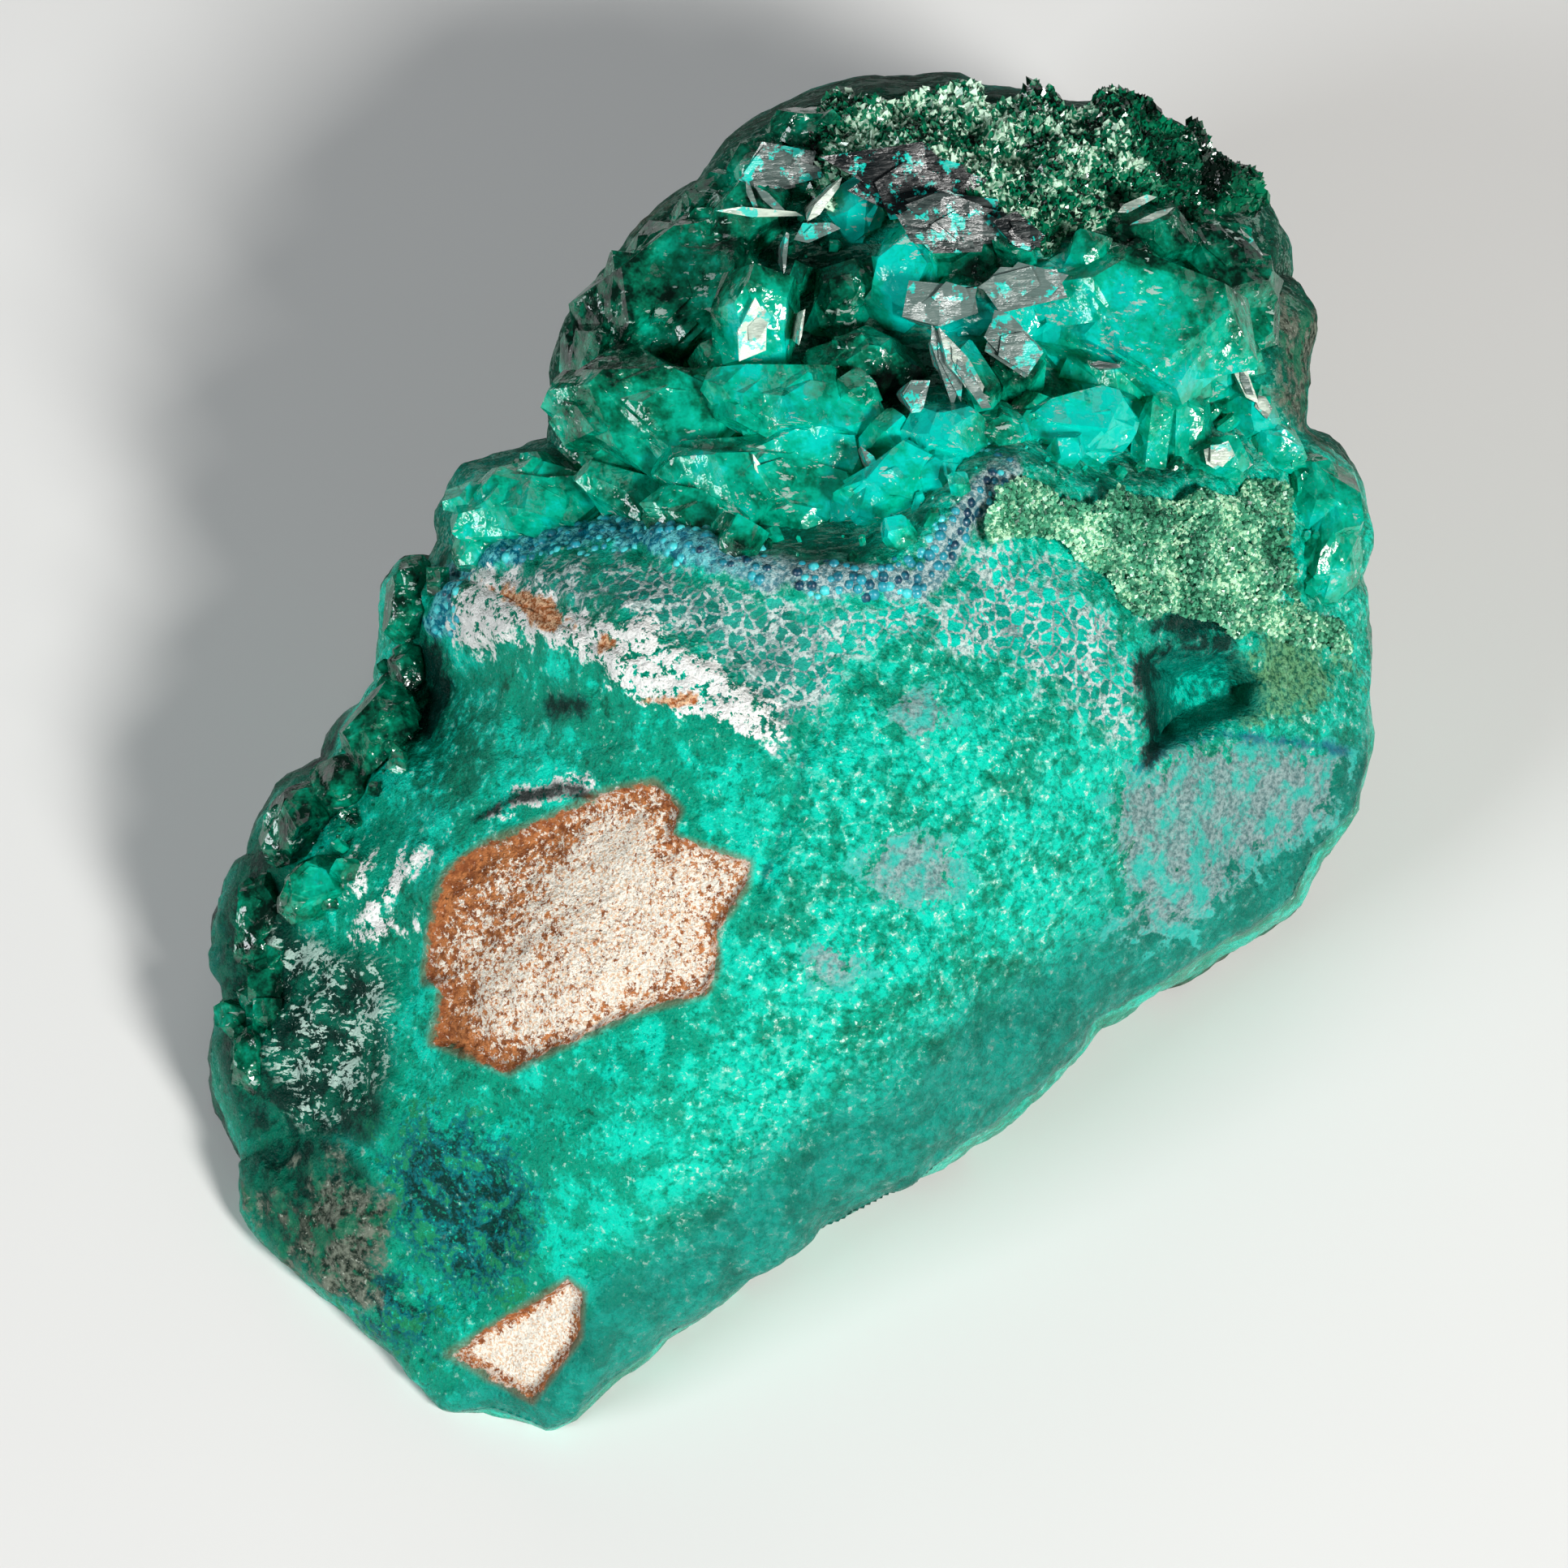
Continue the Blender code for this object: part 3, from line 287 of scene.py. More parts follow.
def segment_distance(points: np.ndarray, corners: tuple, closed: bool = False) -> np.ndarray:
    """Distance from each point to the nearest of the segments between the corners.

    Args:
        points: layout points, one row each.
        corners: the line's corners in order.
        closed: whether the last corner joins the first.

    Returns:
        One distance for each point, in millimetres.
    """
    starts = np.array(corners)
    ends = np.roll(starts, -1, axis=0)
    if not closed:
        starts, ends = starts[:-1], ends[:-1]
    nearest = np.full(len(points), np.inf)
    for start, end in zip(starts, ends):
        along = np.clip((points - start) @ (end - start) / ((end - start) @ (end - start)), 0, 1)
        foot = start + along[:, None] * (end - start)
        nearest = np.minimum(nearest, np.hypot(*(points - foot).T))
    return nearest


def inside_distance(points: np.ndarray, corners: tuple) -> np.ndarray:
    """Distance in from a closed outline, negative outside it, by counting edge crossings.

    Args:
        points: layout points, one row each.
        corners: the outline's corners in order.

    Returns:
        One signed distance for each point, in millimetres.
    """
    starts = np.array(corners)
    ends = np.roll(starts, -1, axis=0)
    crossings = np.zeros(len(points), dtype=int)
    for start, end in zip(starts, ends):
        spans = (start[1] > points[:, 1]) != (end[1] > points[:, 1])
        rise = end[1] - start[1] or 1e-9
        crossing = start[0] + (points[:, 1] - start[1]) * (end[0] - start[0]) / rise
        crossings += spans & (points[:, 0] < crossing)
    distance = segment_distance(points, corners, closed=True)
    return np.where(crossings % 2 == 1, distance, -distance)


def ellipse_distance(points: np.ndarray, centre: tuple, half: tuple, turn: float = 0.0) -> np.ndarray:
    """Distance in from an ellipse: one less the scaled radius, times the shorter half axis.

    Args:
        points: layout points, one row each.
        centre: the ellipse's centre.
        half: its half width and half height.
        turn: its turn in degrees.

    Returns:
        One signed distance for each point, in millimetres.
    """
    cosine, sine = math.cos(math.radians(turn)), math.sin(math.radians(turn))
    right, up = (points[:, :2] - np.array(centre)).T
    wide = (right * cosine + up * sine) / half[0]
    high = (up * cosine - right * sine) / half[1]
    return (1 - np.hypot(wide, high)) * min(half)


def smooth_step(value: np.ndarray) -> np.ndarray:
    """Zero below 0, one above 1, and a smooth rise between."""
    value = np.clip(value, 0.0, 1.0)
    return value * value * (3 - 2 * value)


def hashed(node: np.ndarray, seed: int) -> np.ndarray:
    """A repeatable value from 0 to 1 for each integer lattice node.

    Args:
        node: integer places, one row each.
        seed: which draw.

    Returns:
        One value each.
    """
    key = (node[:, 0] * 73856093) ^ (node[:, 1] * 19349663) ^ (node[:, 2] * 83492791)
    key = key ^ (seed * 2654435761)
    key = ((key ^ (key >> 13)) * 1274126177) & 0x7FFFFFFF
    return key / 0x7FFFFFFF


def lattice_noise(points: np.ndarray, seed: int) -> np.ndarray:
    """Smooth noise: hashed values on a unit lattice, blended between its corners.

    Args:
        points: places, one row each, in lattice units.
        seed: picks the noise.

    Returns:
        Values from -1 to 1.
    """
    cell = np.floor(points).astype(np.int64)
    part = points - cell
    weight = part ** 3 * (part * (part * 6 - 15) + 10)
    total = np.zeros(len(points))
    for corner in np.ndindex(2, 2, 2):
        share = np.prod(np.where(corner, weight, 1 - weight), axis=1)
        total += share * (2 * hashed(cell + corner, seed) - 1)
    return total


def unit(rows: np.ndarray) -> np.ndarray:
    """Each row at length one."""
    return rows / np.linalg.norm(rows, axis=-1, keepdims=True)


def octaves(points: np.ndarray, rows: tuple) -> np.ndarray:
    """The sum of noises, each with its rise, feature size and seed."""
    return sum(rise * lattice_noise(points / size, seed) for rise, size, seed in rows)


def sway_at(points: np.ndarray) -> np.ndarray:
    """Three noises for each point, by which neighbouring crystals lean the same way."""
    return np.column_stack([lattice_noise(points, seed) for seed in (71, 72, 73)])


def cell_domes(points: np.ndarray, seed: int) -> np.ndarray:
    """Domes over scattered sites: one less the squared distance to the nearest jittered site.

    Args:
        points: places, one row each, in cell units.
        seed: picks the sites.

    Returns:
        Heights from about 0 between sites to 1 on them.
    """
    cell = np.floor(points).astype(np.int64)
    nearest = np.full(len(points), np.inf)
    for corner in np.ndindex(3, 3, 3):
        node = cell + np.array(corner) - 1
        site = node + np.column_stack([hashed(node, seed + axis) for axis in range(3)])
        nearest = np.minimum(nearest, np.sum((points - site) ** 2, axis=1))
    return np.clip(1 - nearest, 0, 1)


def mesh_from_arrays(name: str, places: np.ndarray, triangles: np.ndarray, smooth: bool) -> bpy.types.Mesh:
    """A mesh from whole arrays.

    Args:
        name: the mesh's name.
        places: vertex places in metres.
        triangles: vertex numbers, three to a row.
        smooth: whether its faces are shaded smooth.

    Returns:
        The new mesh.
    """
    mesh = bpy.data.meshes.new(name)
    mesh.vertices.add(len(places))
    mesh.vertices.foreach_set("co", places.astype(np.float32).ravel())
    mesh.loops.add(triangles.size)
    mesh.loops.foreach_set("vertex_index", triangles.astype(np.int32).ravel())
    mesh.polygons.add(len(triangles))
    mesh.polygons.foreach_set("loop_start", np.arange(0, triangles.size, 3, dtype=np.int32))
    mesh.polygons.foreach_set("use_smooth", np.full(len(triangles), smooth))
    mesh.update(calc_edges=True)
    return mesh


def read(mesh: bpy.types.Mesh, name: str) -> np.ndarray:
    """The places or the normals of a mesh's vertices, one row each.

    Args:
        mesh: the mesh.
        name: co or normal.

    Returns:
        The rows, places in metres.
    """
    values = np.zeros(len(mesh.vertices) * 3, dtype=np.float32)
    mesh.vertices.foreach_get(name, values)
    return values.reshape(-1, 3)


def store(mesh: bpy.types.Mesh, name: str, values: np.ndarray) -> None:
    """Keep one number at each corner of a mesh under a name."""
    mesh.attributes.new(name, "FLOAT", "POINT").data.foreach_set("value", values.astype(np.float32))


def show(name: str, data: bpy.types.ID) -> bpy.types.Object:
    """A new object at the origin of the scene.

    Args:
        name: its name.
        data: its mesh, lamp or camera.

    Returns:
        The object.
    """
    item = bpy.data.objects.new(name, data)
    bpy.context.scene.collection.objects.link(item)
    return item


def add_piece(mesh: bpy.types.Mesh, finish: bpy.types.Material, slot: str, replaced: str = "") -> None:
    """Dress a mesh and show it as a piece of the specimen.

    Args:
        mesh: the shape, in world metres.
        finish: its only material.
        slot: the record's material slot; not used.
        replaced: the CAD node that it stands for, if any.
    """
    mesh.materials.clear()
    mesh.materials.append(finish)
    piece = show(mesh.name, mesh)
    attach(piece, "root")
    if replaced:
        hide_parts(replaced)
    LOG.info("%s: %d triangles", piece.name, len(mesh.polygons))


@dataclass(frozen=True)
class DisplayFace:
    """The leaning plane that the specimen is laid out on."""

    elevation: float = math.radians(60.0)
    height: float = 11.2
    shift: tuple = (-0.422, -4.640)
    taper: float = 241.5
    heart: tuple = (-0.15, 1.65)

    def axes(self) -> np.ndarray:
        """Rows: the world directions of across, up and toward."""
        sine, cosine = math.sin(self.elevation), math.cos(self.elevation)
        return np.array(((1, 0, 0), (0, sine, cosine), (0, -cosine, sine)))

    def locate(self, layout: np.ndarray) -> np.ndarray:
        """World millimetres of layout points, drawn in toward the viewer by the taper.

        Args:
            layout: rows of across, up and toward.

        Returns:
            Rows of x, y and z.
        """
        layout = np.atleast_2d(np.asarray(layout, dtype=float)).copy()
        layout[:, :2] *= (1 - layout[:, 2:] / self.taper)
        return layout @ self.axes() + np.array((*self.shift, self.height))

    def layout(self, places: np.ndarray) -> np.ndarray:
        """Layout points of world millimetres, undoing the taper."""
        rows = (places - np.array((*self.shift, self.height))) @ self.axes().T
        return rows[:, :2] / (1 - rows[:, 2:] / self.taper)

    def outline_radius(self, angle: np.ndarray) -> np.ndarray:
        """Distance from the heart to the outline in each direction.

        Args:
            angle: bearings in radians.

        Returns:
            Millimetres.
        """
        offsets = np.array(OUTLINE) - np.array(self.heart)
        bearings = np.arctan2(offsets[:, 1], offsets[:, 0])
        return np.interp(angle, bearings, np.hypot(*offsets.T), period=2 * math.pi)

    def polar_points(self, angle: np.ndarray, radius: np.ndarray) -> np.ndarray:
        """Layout points at a radius and an angle about the heart."""
        return np.array(self.heart) + radius[:, None] * np.column_stack((np.cos(angle), np.sin(angle)))


@dataclass(frozen=True)
class Relief:
    """The heights of the matrix over the display face, in millimetres."""

    face: DisplayFace
    crest: float = 5.6
    back_depth: float = -26.0
    least_rise: float = 1.0
    step_drop: float = 2.2
    ridge_rise: float = 0.7
    ridge_width: float = 1.1
    pocket_drop: float = 3.0
    foot_height: float = 2.8
    rim_climb: float = 0.31

    def face_height(self, points: np.ndarray) -> np.ndarray:
        """Height of the face without its rounded rim: a saddle with terrace, ridge and swells.

        Args:
            points: layout points.

        Returns:
            One height for each point.
        """
        across, up = points[:, 0], points[:, 1]
        side, length = 0.92 * across - 0.39 * up, 0.39 * across + 0.92 * up
        fall = 0.058 * (side - 1.5) ** 2 / (1 + np.abs(side - 1.5) / 30)
        height = self.crest - fall - np.where(length > 0, 0.017, 0.006) * length ** 2
        height -= self.step_drop * smooth_step(inside_distance(points, TERRACE) / 2.2 + 0.25)
        height += self.ridge_rise * np.exp(-((segment_distance(points, RIDGE) / self.ridge_width) ** 2))
        height -= self.pocket_drop * smooth_step(inside_distance(points, CAVITY) / 1.1)
        for *place, half_width, half_height, turn, rise in SWELLS:
            inner = ellipse_distance(points, place, (half_width, half_height), turn)
            scaled = 1 - inner / min(half_width, half_height)
            height += rise * np.exp(-(scaled ** 2))
        return height

    def rim_toward(self, points: np.ndarray) -> np.ndarray:
        """Toward coordinate of the rim, whose world height climbs from the foot to the crown.

        Args:
            points: layout points.

        Returns:
            The coordinate at each point.
        """
        across, up = points.T
        height = self.foot_height + self.rim_climb * (up + 19.95) - np.where(across > 0, 0.15, -0.25) * across
        level = height - self.face.height - up * math.cos(self.face.elevation)
        return level / math.sin(self.face.elevation)

    def front_toward(self, points: np.ndarray) -> np.ndarray:
        """Toward coordinate of the front: the face's height, rounded off to the rim.

        Args:
            points: layout points inside the outline.

        Returns:
            One toward coordinate for each point.
        """
        offsets = points - np.array(self.face.heart)
        angle = np.arctan2(offsets[:, 1], offsets[:, 0])
        radius = self.face.outline_radius(angle)
        share = np.clip(np.hypot(*offsets.T) / radius, 0, 1)
        rim = self.rim_toward(self.face.polar_points(angle, radius))
        rise = np.maximum(self.face_height(points) - rim, self.least_rise)
        return rim + rise * np.sqrt(1 - share ** 3.0)

    def place_over(self, across: float, up: float, lift: float) -> np.ndarray:
        """World millimetres of one point so far over the front."""
        toward = self.front_toward(np.array([(across, up)]))[0] + lift
        return self.face.locate((across, up, toward))[0]

    def back_layout(self, angle: np.ndarray, share: np.ndarray) -> tuple[np.ndarray, np.ndarray]:
        """The back and sides, which lose the outline's notches below the rim.

        Args:
            angle: bearing about the heart.
            share: share of the way out to the rim.

        Returns:
            Layout points, and how far below the rim each one lies.
        """
        edge = self.face.outline_radius(angle)
        turns = [math.radians(turn) for turn in range(-18, 19, 6)]
        calm = np.mean([self.face.outline_radius(angle + turn) for turn in turns], axis=0)
        rim = self.rim_toward(self.face.polar_points(angle, edge))
        points = self.face.polar_points(angle, (calm + (edge - calm) * share ** 8) * share)
        drop = (rim - self.back_depth) * np.sqrt(1 - share ** 2.4)
        return np.column_stack((points, rim - drop)), drop


@dataclass(frozen=True)
class DiscGrid:
    """A square grid bent to a disc, whose rings crowd toward the rim."""

    cells: int

    def polar(self) -> tuple[np.ndarray, np.ndarray]:
        """Bearing and share of the radius of each grid point.

        Returns:
            The bearings and the shares.
        """
        steps = np.linspace(-1, 1, self.cells + 1)
        wide, high = (values.ravel() for values in np.meshgrid(steps, steps))
        share = np.sin(np.maximum(np.abs(wide), np.abs(high)) * math.pi / 2)
        return np.arctan2(high, wide), share

    def triangles(self) -> np.ndarray:
        """Two triangles for each cell, split along the line from the middle outward.

        Returns:
            Three point numbers a row.
        """
        down, along = np.divmod(np.arange(self.cells ** 2), self.cells)
        near = down * (self.cells + 1) + along
        far = near + self.cells + 1
        half = self.cells // 2
        same = (down < half) == (along < half)
        first = np.column_stack((near, near + 1, far + same))
        second = np.column_stack((near + ~same, far + 1, far))
        return np.concatenate((first, second))

    def rim_loop(self) -> np.ndarray:
        """Numbers of the points round the rim, anticlockwise.

        Returns:
            The numbers.
        """
        row = self.cells + 1
        index = np.arange(row * row).reshape(row, row)
        return np.concatenate((index[0, :-1], index[:-1, -1], index[-1, :0:-1], index[:0:-1, 0]))


class Graph:
    """Adds nodes to a shader tree and wires them."""

    def __init__(self, tree: bpy.types.NodeTree) -> None:
        """Work on one tree."""
        self.tree = tree

    def node(self, kind: str, inputs: dict | None = None, **settings: object) -> bpy.types.Node:
        """Add a node.

        Args:
            kind: the node's type without its ShaderNode prefix.
            inputs: values or sockets for its inputs, by name or number.
            settings: its other properties.

        Returns:
            The new node.
        """
        node = self.tree.nodes.new("ShaderNode" + kind)
        for name, value in settings.items():
            setattr(node, name, value)
        for name, value in (inputs or {}).items():
            self.put(node.inputs[name], value)
        return node

    def put(self, socket: Socket, value: object) -> None:
        """Link another socket to this one, or set its value.

        Args:
            socket: an input.
            value: a socket or a plain value.
        """
        if isinstance(value, Socket):
            self.tree.links.new(value, socket)
        else:
            socket.default_value = value

    def math(self, operation: str, first: object, second: object = 0.0, third: object = 0.0) -> Socket:
        """The result of one arithmetic step."""
        return self.node("Math", {0: first, 1: second, 2: third}, operation=operation).outputs[0]

    def vector(self, operation: str, first: object, second: object, third: object = (0, 0, 0)) -> Socket:
        """The result of one vector step; a scale is given as the second value."""
        inputs = {0: first, "Scale": second} if operation == "SCALE" else {0: first, 1: second, 2: third}
        return self.node("VectorMath", inputs, operation=operation).outputs[0]

    def weighted(self, *terms: tuple) -> Socket:
        """The sum of values times their weights.

        Args:
            terms: a value and its weight each.

        Returns:
            The sum.
        """
        total = 0.0
        for value, weight in terms:
            total = self.math("MULTIPLY_ADD", value, weight, total)
        return total

    def noise(self, vector: object, scale: float, detail: float = 4.0, rough: float = 0.7) -> Socket:
        """Noise from 0 to 1 with so many features to the millimetre."""
        inputs = {"Vector": vector, "Scale": scale, "Detail": detail, "Roughness": rough}
        return self.node("TexNoise", inputs).outputs["Fac"]

    def step(self, value: object, low: float, high: float) -> Socket:
        """A smooth rise from 0 at low to 1 at high."""
        inputs = {"Value": value, "From Min": low, "From Max": high}
        return self.node("MapRange", inputs, interpolation_type="SMOOTHSTEP").outputs["Result"]

    def between(self, value: object, low: float, high: float) -> Socket:
        """A value from low to high as another goes from 0.3 to 0.7."""
        inputs = {"Value": value, "From Min": 0.3, "From Max": 0.7, "To Min": low, "To Max": high}
        return self.node("MapRange", inputs).outputs["Result"]

    def mix(self, share: object, first: object, second: object) -> Socket:
        """One colour laid over another."""
        inputs = {0: share, 6: opaque(first), 7: opaque(second)}
        return self.node("Mix", inputs, data_type="RGBA").outputs[2]

    def ramp(self, value: object, color: object, *stops: tuple) -> Socket:
        """A colour that turns into each stop's colour as a value goes from its low to its high.

        Args:
            value: what drives it.
            color: the first colour.
            stops: low, high and colour each.

        Returns:
            The colour.
        """
        for low, high, over in stops:
            color = self.mix(self.step(value, low, high), color, over)
        return color

    def attribute(self, name: str) -> Socket:
        """A number stored on the mesh."""
        return self.node("Attribute", attribute_name=name).outputs["Fac"]

    def bump(self, height: object, strength: float, distance: float, **normal: object) -> Socket:
        """The normal bent by a height, whose distance is in millimetres."""
        inputs = {"Height": height, "Strength": strength, "Distance": distance * MM, **normal}
        return self.node("Bump", inputs).outputs[0]

    def lay(self, under: object, share: float, over: object, *masks: object) -> Socket:
        """A colour laid over another where all the masks meet.

        Args:
            under: the lower colour.
            share: how much covers it.
            over: the upper colour.
            masks: where it lies.

        Returns:
            The colour.
        """
        for mask in masks:
            share = self.math("MULTIPLY", share, mask)
        return self.mix(share, under, over)

    def millimetres(self) -> Socket:
        """Object coordinates in millimetres."""
        return self.vector("SCALE", self.node("TexCoord").outputs["Object"], 1 / MM)

    def effect(self, kind: "Effect", place: object, scale: float, **values: object) -> bpy.types.Node:
        """Place a shared effect with its own scale and values.

        Args:
            kind: which effect.
            place: coordinates in millimetres.
            scale: features to the millimetre.
            values: the group's other inputs.

        Returns:
            The group node.
        """
        inputs = {"Vector": place, "Scale": scale, **values}
        return self.node("Group", inputs, node_tree=effect_group(kind))

    def finish(self, shader: bpy.types.Node, **inputs: object) -> None:
        """Set or link the shader's inputs, whose names have underscores for spaces."""
        for name, value in inputs.items():
            self.put(shader.inputs[name.replace("_", " ")], value)


def opaque(color: object) -> object:
    """A colour triple with its alpha, or a socket as it is."""
    return (*color, 1.0) if isinstance(color, tuple) else color


def new_material(name: str) -> tuple[bpy.types.Material, Graph, bpy.types.Node]:
    """An empty node material.

    Args:
        name: the material's name.

    Returns:
        The material, its graph and its Principled shader.
    """
    material = bpy.data.materials.new(name)
    material.use_nodes = True
    return material, Graph(material.node_tree), material.node_tree.nodes["Principled BSDF"]


class Effect(Enum):
    """Surface effects that several finishes share: each one's inputs and outputs after Vector and Scale."""

    CELLS = ("cell_network", {"Wall": "Float"}, {"Walls": "Float", "Tint": "Float", "Dome": "Float"})
    FLECKS = ("silver_flecks", {"Amount": "Float"}, {"Mask": "Float"})
    GLINTS = ("cleavage_glints", {"Amount": "Float", "Normal": "Vector"}, {"Normal": "Vector"})


def effect_group(effect: Effect) -> bpy.types.NodeTree:
    """The node group of an effect, made once.

    CELLS gives the walls, the tint and the dome of fused grains. FLECKS gives a mask of short
    dashes that gather in patches. GLINTS tilts the normal by a different turn in each small cell.

    Args:
        effect: which effect.

    Returns:
        Its node group.
    """
    name, given, made = effect.value
    if name in bpy.data.node_groups:
        return bpy.data.node_groups[name]
    group = bpy.data.node_groups.new(name, "ShaderNodeTree")
    for way, sockets in (("INPUT", {"Vector": "Vector", "Scale": "Float", **given}), ("OUTPUT", made)):
        for socket, kind in sockets.items():
            group.interface.new_socket(socket, in_out=way, socket_type="NodeSocket" + kind)
    graph = Graph(group)
    source = group.nodes.new("NodeGroupInput").outputs
    result = group.nodes.new("NodeGroupOutput").inputs
    scaled = graph.vector("SCALE", source["Vector"], source["Scale"])
    sway = graph.node("TexNoise", {"Vector": scaled, "Scale": 0.6, "Detail": 3.0}).outputs["Color"]
    bent = graph.vector("MULTIPLY_ADD", sway, (0.9, 0.9, 0.9), scaled)
    if effect is Effect.CELLS:
        edge = graph.node("TexVoronoi", {"Vector": bent, "Scale": 1.0}, feature="DISTANCE_TO_EDGE")
        site = graph.node("TexVoronoi", {"Vector": bent, "Scale": 1.0})
        walls = graph.node("MapRange", {"Value": edge.outputs["Distance"], "From Min": source["Wall"],
                                        "From Max": 0.02, "To Min": 0.0, "To Max": 1.0},
                           interpolation_type="SMOOTHSTEP").outputs["Result"]
        tint = graph.node("SeparateColor", {0: site.outputs["Color"]}).outputs[0]
        dome = graph.math("SUBTRACT", 1.0, site.outputs["Distance"])
        made_here = {"Walls": walls, "Tint": tint, "Dome": dome}
    elif effect is Effect.FLECKS:
        drawn = graph.vector("MULTIPLY", bent, (0.30, 1.0, 1.0))
        dashes, patches = graph.noise(drawn, 1.0, 3.0, 0.7), graph.noise(scaled, 0.14, 2.0, 0.5)
        level = graph.weighted((dashes, 1.0), (patches, 0.55))
        bar = graph.math("MULTIPLY_ADD", source["Amount"], -0.3, 1.19)
        over = graph.math("SUBTRACT", level, bar)
        made_here = {"Mask": graph.step(over, 0.0, 0.03)}
    else:
        drawn = graph.vector("MULTIPLY", bent, (1.0, 0.45, 1.0))
        cell = graph.node("TexVoronoi", {"Vector": drawn, "Scale": 1.0})
        turn = graph.vector("SUBTRACT", cell.outputs["Color"], (0.5, 0.5, 0.5))
        tilted = graph.vector("ADD", graph.vector("SCALE", turn, source["Amount"]), source["Normal"])
        made_here = {"Normal": graph.node("VectorMath", {0: tilted}, operation="NORMALIZE").outputs[0]}
    for socket, value in made_here.items():
        group.links.new(value, result[socket])
    return group


@dataclass(frozen=True)
class MatrixFinish:
    """Stained matrix: mottled green and turquoise with cells, grains, quartz and bare host rock."""

    emerald: tuple = (0.0, 0.115, 0.062)
    green: tuple = (0.0, 0.30, 0.185)
    turquoise: tuple = (0.0, 0.62, 0.45)
    # near black, laid as painted shade on the left edge and in the hollows
    night: tuple = (0.0, 0.010, 0.008)
    chalk: tuple = (0.58, 0.80, 0.70)
    silver: tuple = (0.42, 0.55, 0.50)
    rust: tuple = (0.60, 0.23, 0.08)
    umber: tuple = (0.27, 0.085, 0.03)
    cream: tuple = (1.0, 0.94, 0.82)

    def build(self) -> bpy.types.Material:
        """Layer the regions over the mottled ground.

        Returns:
            The finished material.
        """
        material, graph, shader = new_material("stained_matrix")
        place = graph.millimetres()
        mix, lay, step, ramp, weighted = graph.mix, graph.lay, graph.step, graph.ramp, graph.weighted
        times, either = partial(graph.math, "MULTIPLY"), partial(graph.math, "MAXIMUM")
        sizes = ((0.42, 2.0), (1.1, 4.0), (3.1, 3.0), (6.0, 3.0), (11.0, 1.0))
        broad, wander, spots, fine, grit = (graph.noise(place, scale, detail) for scale, detail in sizes)

        def near(name: str, fray: object = wander) -> Socket:
            """A region's mask: its stored distance, moved by noise, cut to a soft edge.

            Args:
                name: the region.
                fray: the noise.

            Returns:
                The mask.
            """
            reach, blur = REGION_EDGES[name]
            moved = graph.math("MULTIPLY_ADD", fray, 2 * reach, graph.attribute(name))
            return step(moved, reach, reach + blur)

        right = step(graph.attribute("speckled"), -1.5, 2.0)
        cells = graph.effect(Effect.CELLS, place, 2.4, Wall=graph.between(wander, 0.06, 0.30))
        walls, tint = cells.outputs["Walls"], cells.outputs["Tint"]
        level = weighted((broad, 0.45), (wander, 0.52), (spots, 0.24), (fine, 0.12), (tint, 0.05),
                         (right, 0.03))
        even = graph.math("MULTIPLY_ADD", right, -0.05, graph.math("ADD", level, 0.06))
        color = ramp(even, self.emerald, (0.565, 0.680, self.green))
        color = ramp(level, color, (0.650, 0.785, self.turquoise))
        color = lay(color, 0.55, self.emerald, step(spots, 0.43, 0.37), step(fine, 0.56, 0.48))
        color = lay(color, 0.45, self.emerald, walls, step(spots, 0.56, 0.46), right)
        color = lay(color, 0.24, self.silver, walls, step(spots, 0.50, 0.60), right)
        flecks = graph.effect(Effect.FLECKS, place, 6.0, Amount=1.25).outputs["Mask"]
        chalky = times(step(spots, 0.585, 0.625), step(fine, 0.51, 0.57))
        color = lay(color, 0.85, self.chalk, chalky, weighted((right, 0.5), (0.5, 1.0)))

        band = near("band")
        color = lay(color, 0.75, mix(wander, (0.0, 0.08, 0.06), (0.01, 0.22, 0.18)), band)

        # painted shade: the left edge, turned from the light, goes near black
        deep = ramp(wander, self.night, (0.42, 0.60, (0.0, 0.10, 0.055)))
        color = lay(color, 0.94, deep, near("flank"))
        color = lay(color, 0.70, self.chalk, flecks, near("flecked"))

        lilac = ramp(fine, (0.07, 0.15, 0.16), (0.30, 0.70, (0.33, 0.44, 0.44)))
        lilac = lay(lilac, 0.80, (0.0, 0.50, 0.41), step(wander, 0.45, 0.62))
        grey = near("lavender")
        color = lay(color, 0.90, lilac, grey)
        color = lay(color, 0.75, (0.0, 0.06, 0.16), near("rim_line"))

        network = near("network")
        cell = mix(right, (0.03, 0.36, 0.29), (0.0, 0.80, 0.62))
        cell = mix(weighted((tint, 0.6), (spots, 0.5)), (0.0, 0.08, 0.07), cell)
        color = lay(color, 0.80, cell, network)
        mortar = ramp(fine, (0.13, 0.24, 0.25), (0.36, 0.60, (0.64, 0.74, 0.71)))
        mortar = lay(mortar, 0.60, (0.09, 0.15, 0.16), step(wander, 0.54, 0.42))
        lace = step(weighted((walls, 0.20), (fine, 0.55), (spots, 0.45)), 0.565, 0.64)
        color = lay(color, 0.90, mortar, network, lace)
        bedding = ramp(fine, (0.08, 0.20, 0.24), (0.40, 0.62, (0.46, 0.58, 0.58)))
        stained = ramp(spots, (0.0, 0.15, 0.24), (0.42, 0.60, (0.14, 0.62, 0.66)))
        bedding = ramp(graph.attribute("speckled"), stained, (-6.0, -1.0, bedding))
        color = lay(color, 0.95, bedding, near("navy"))

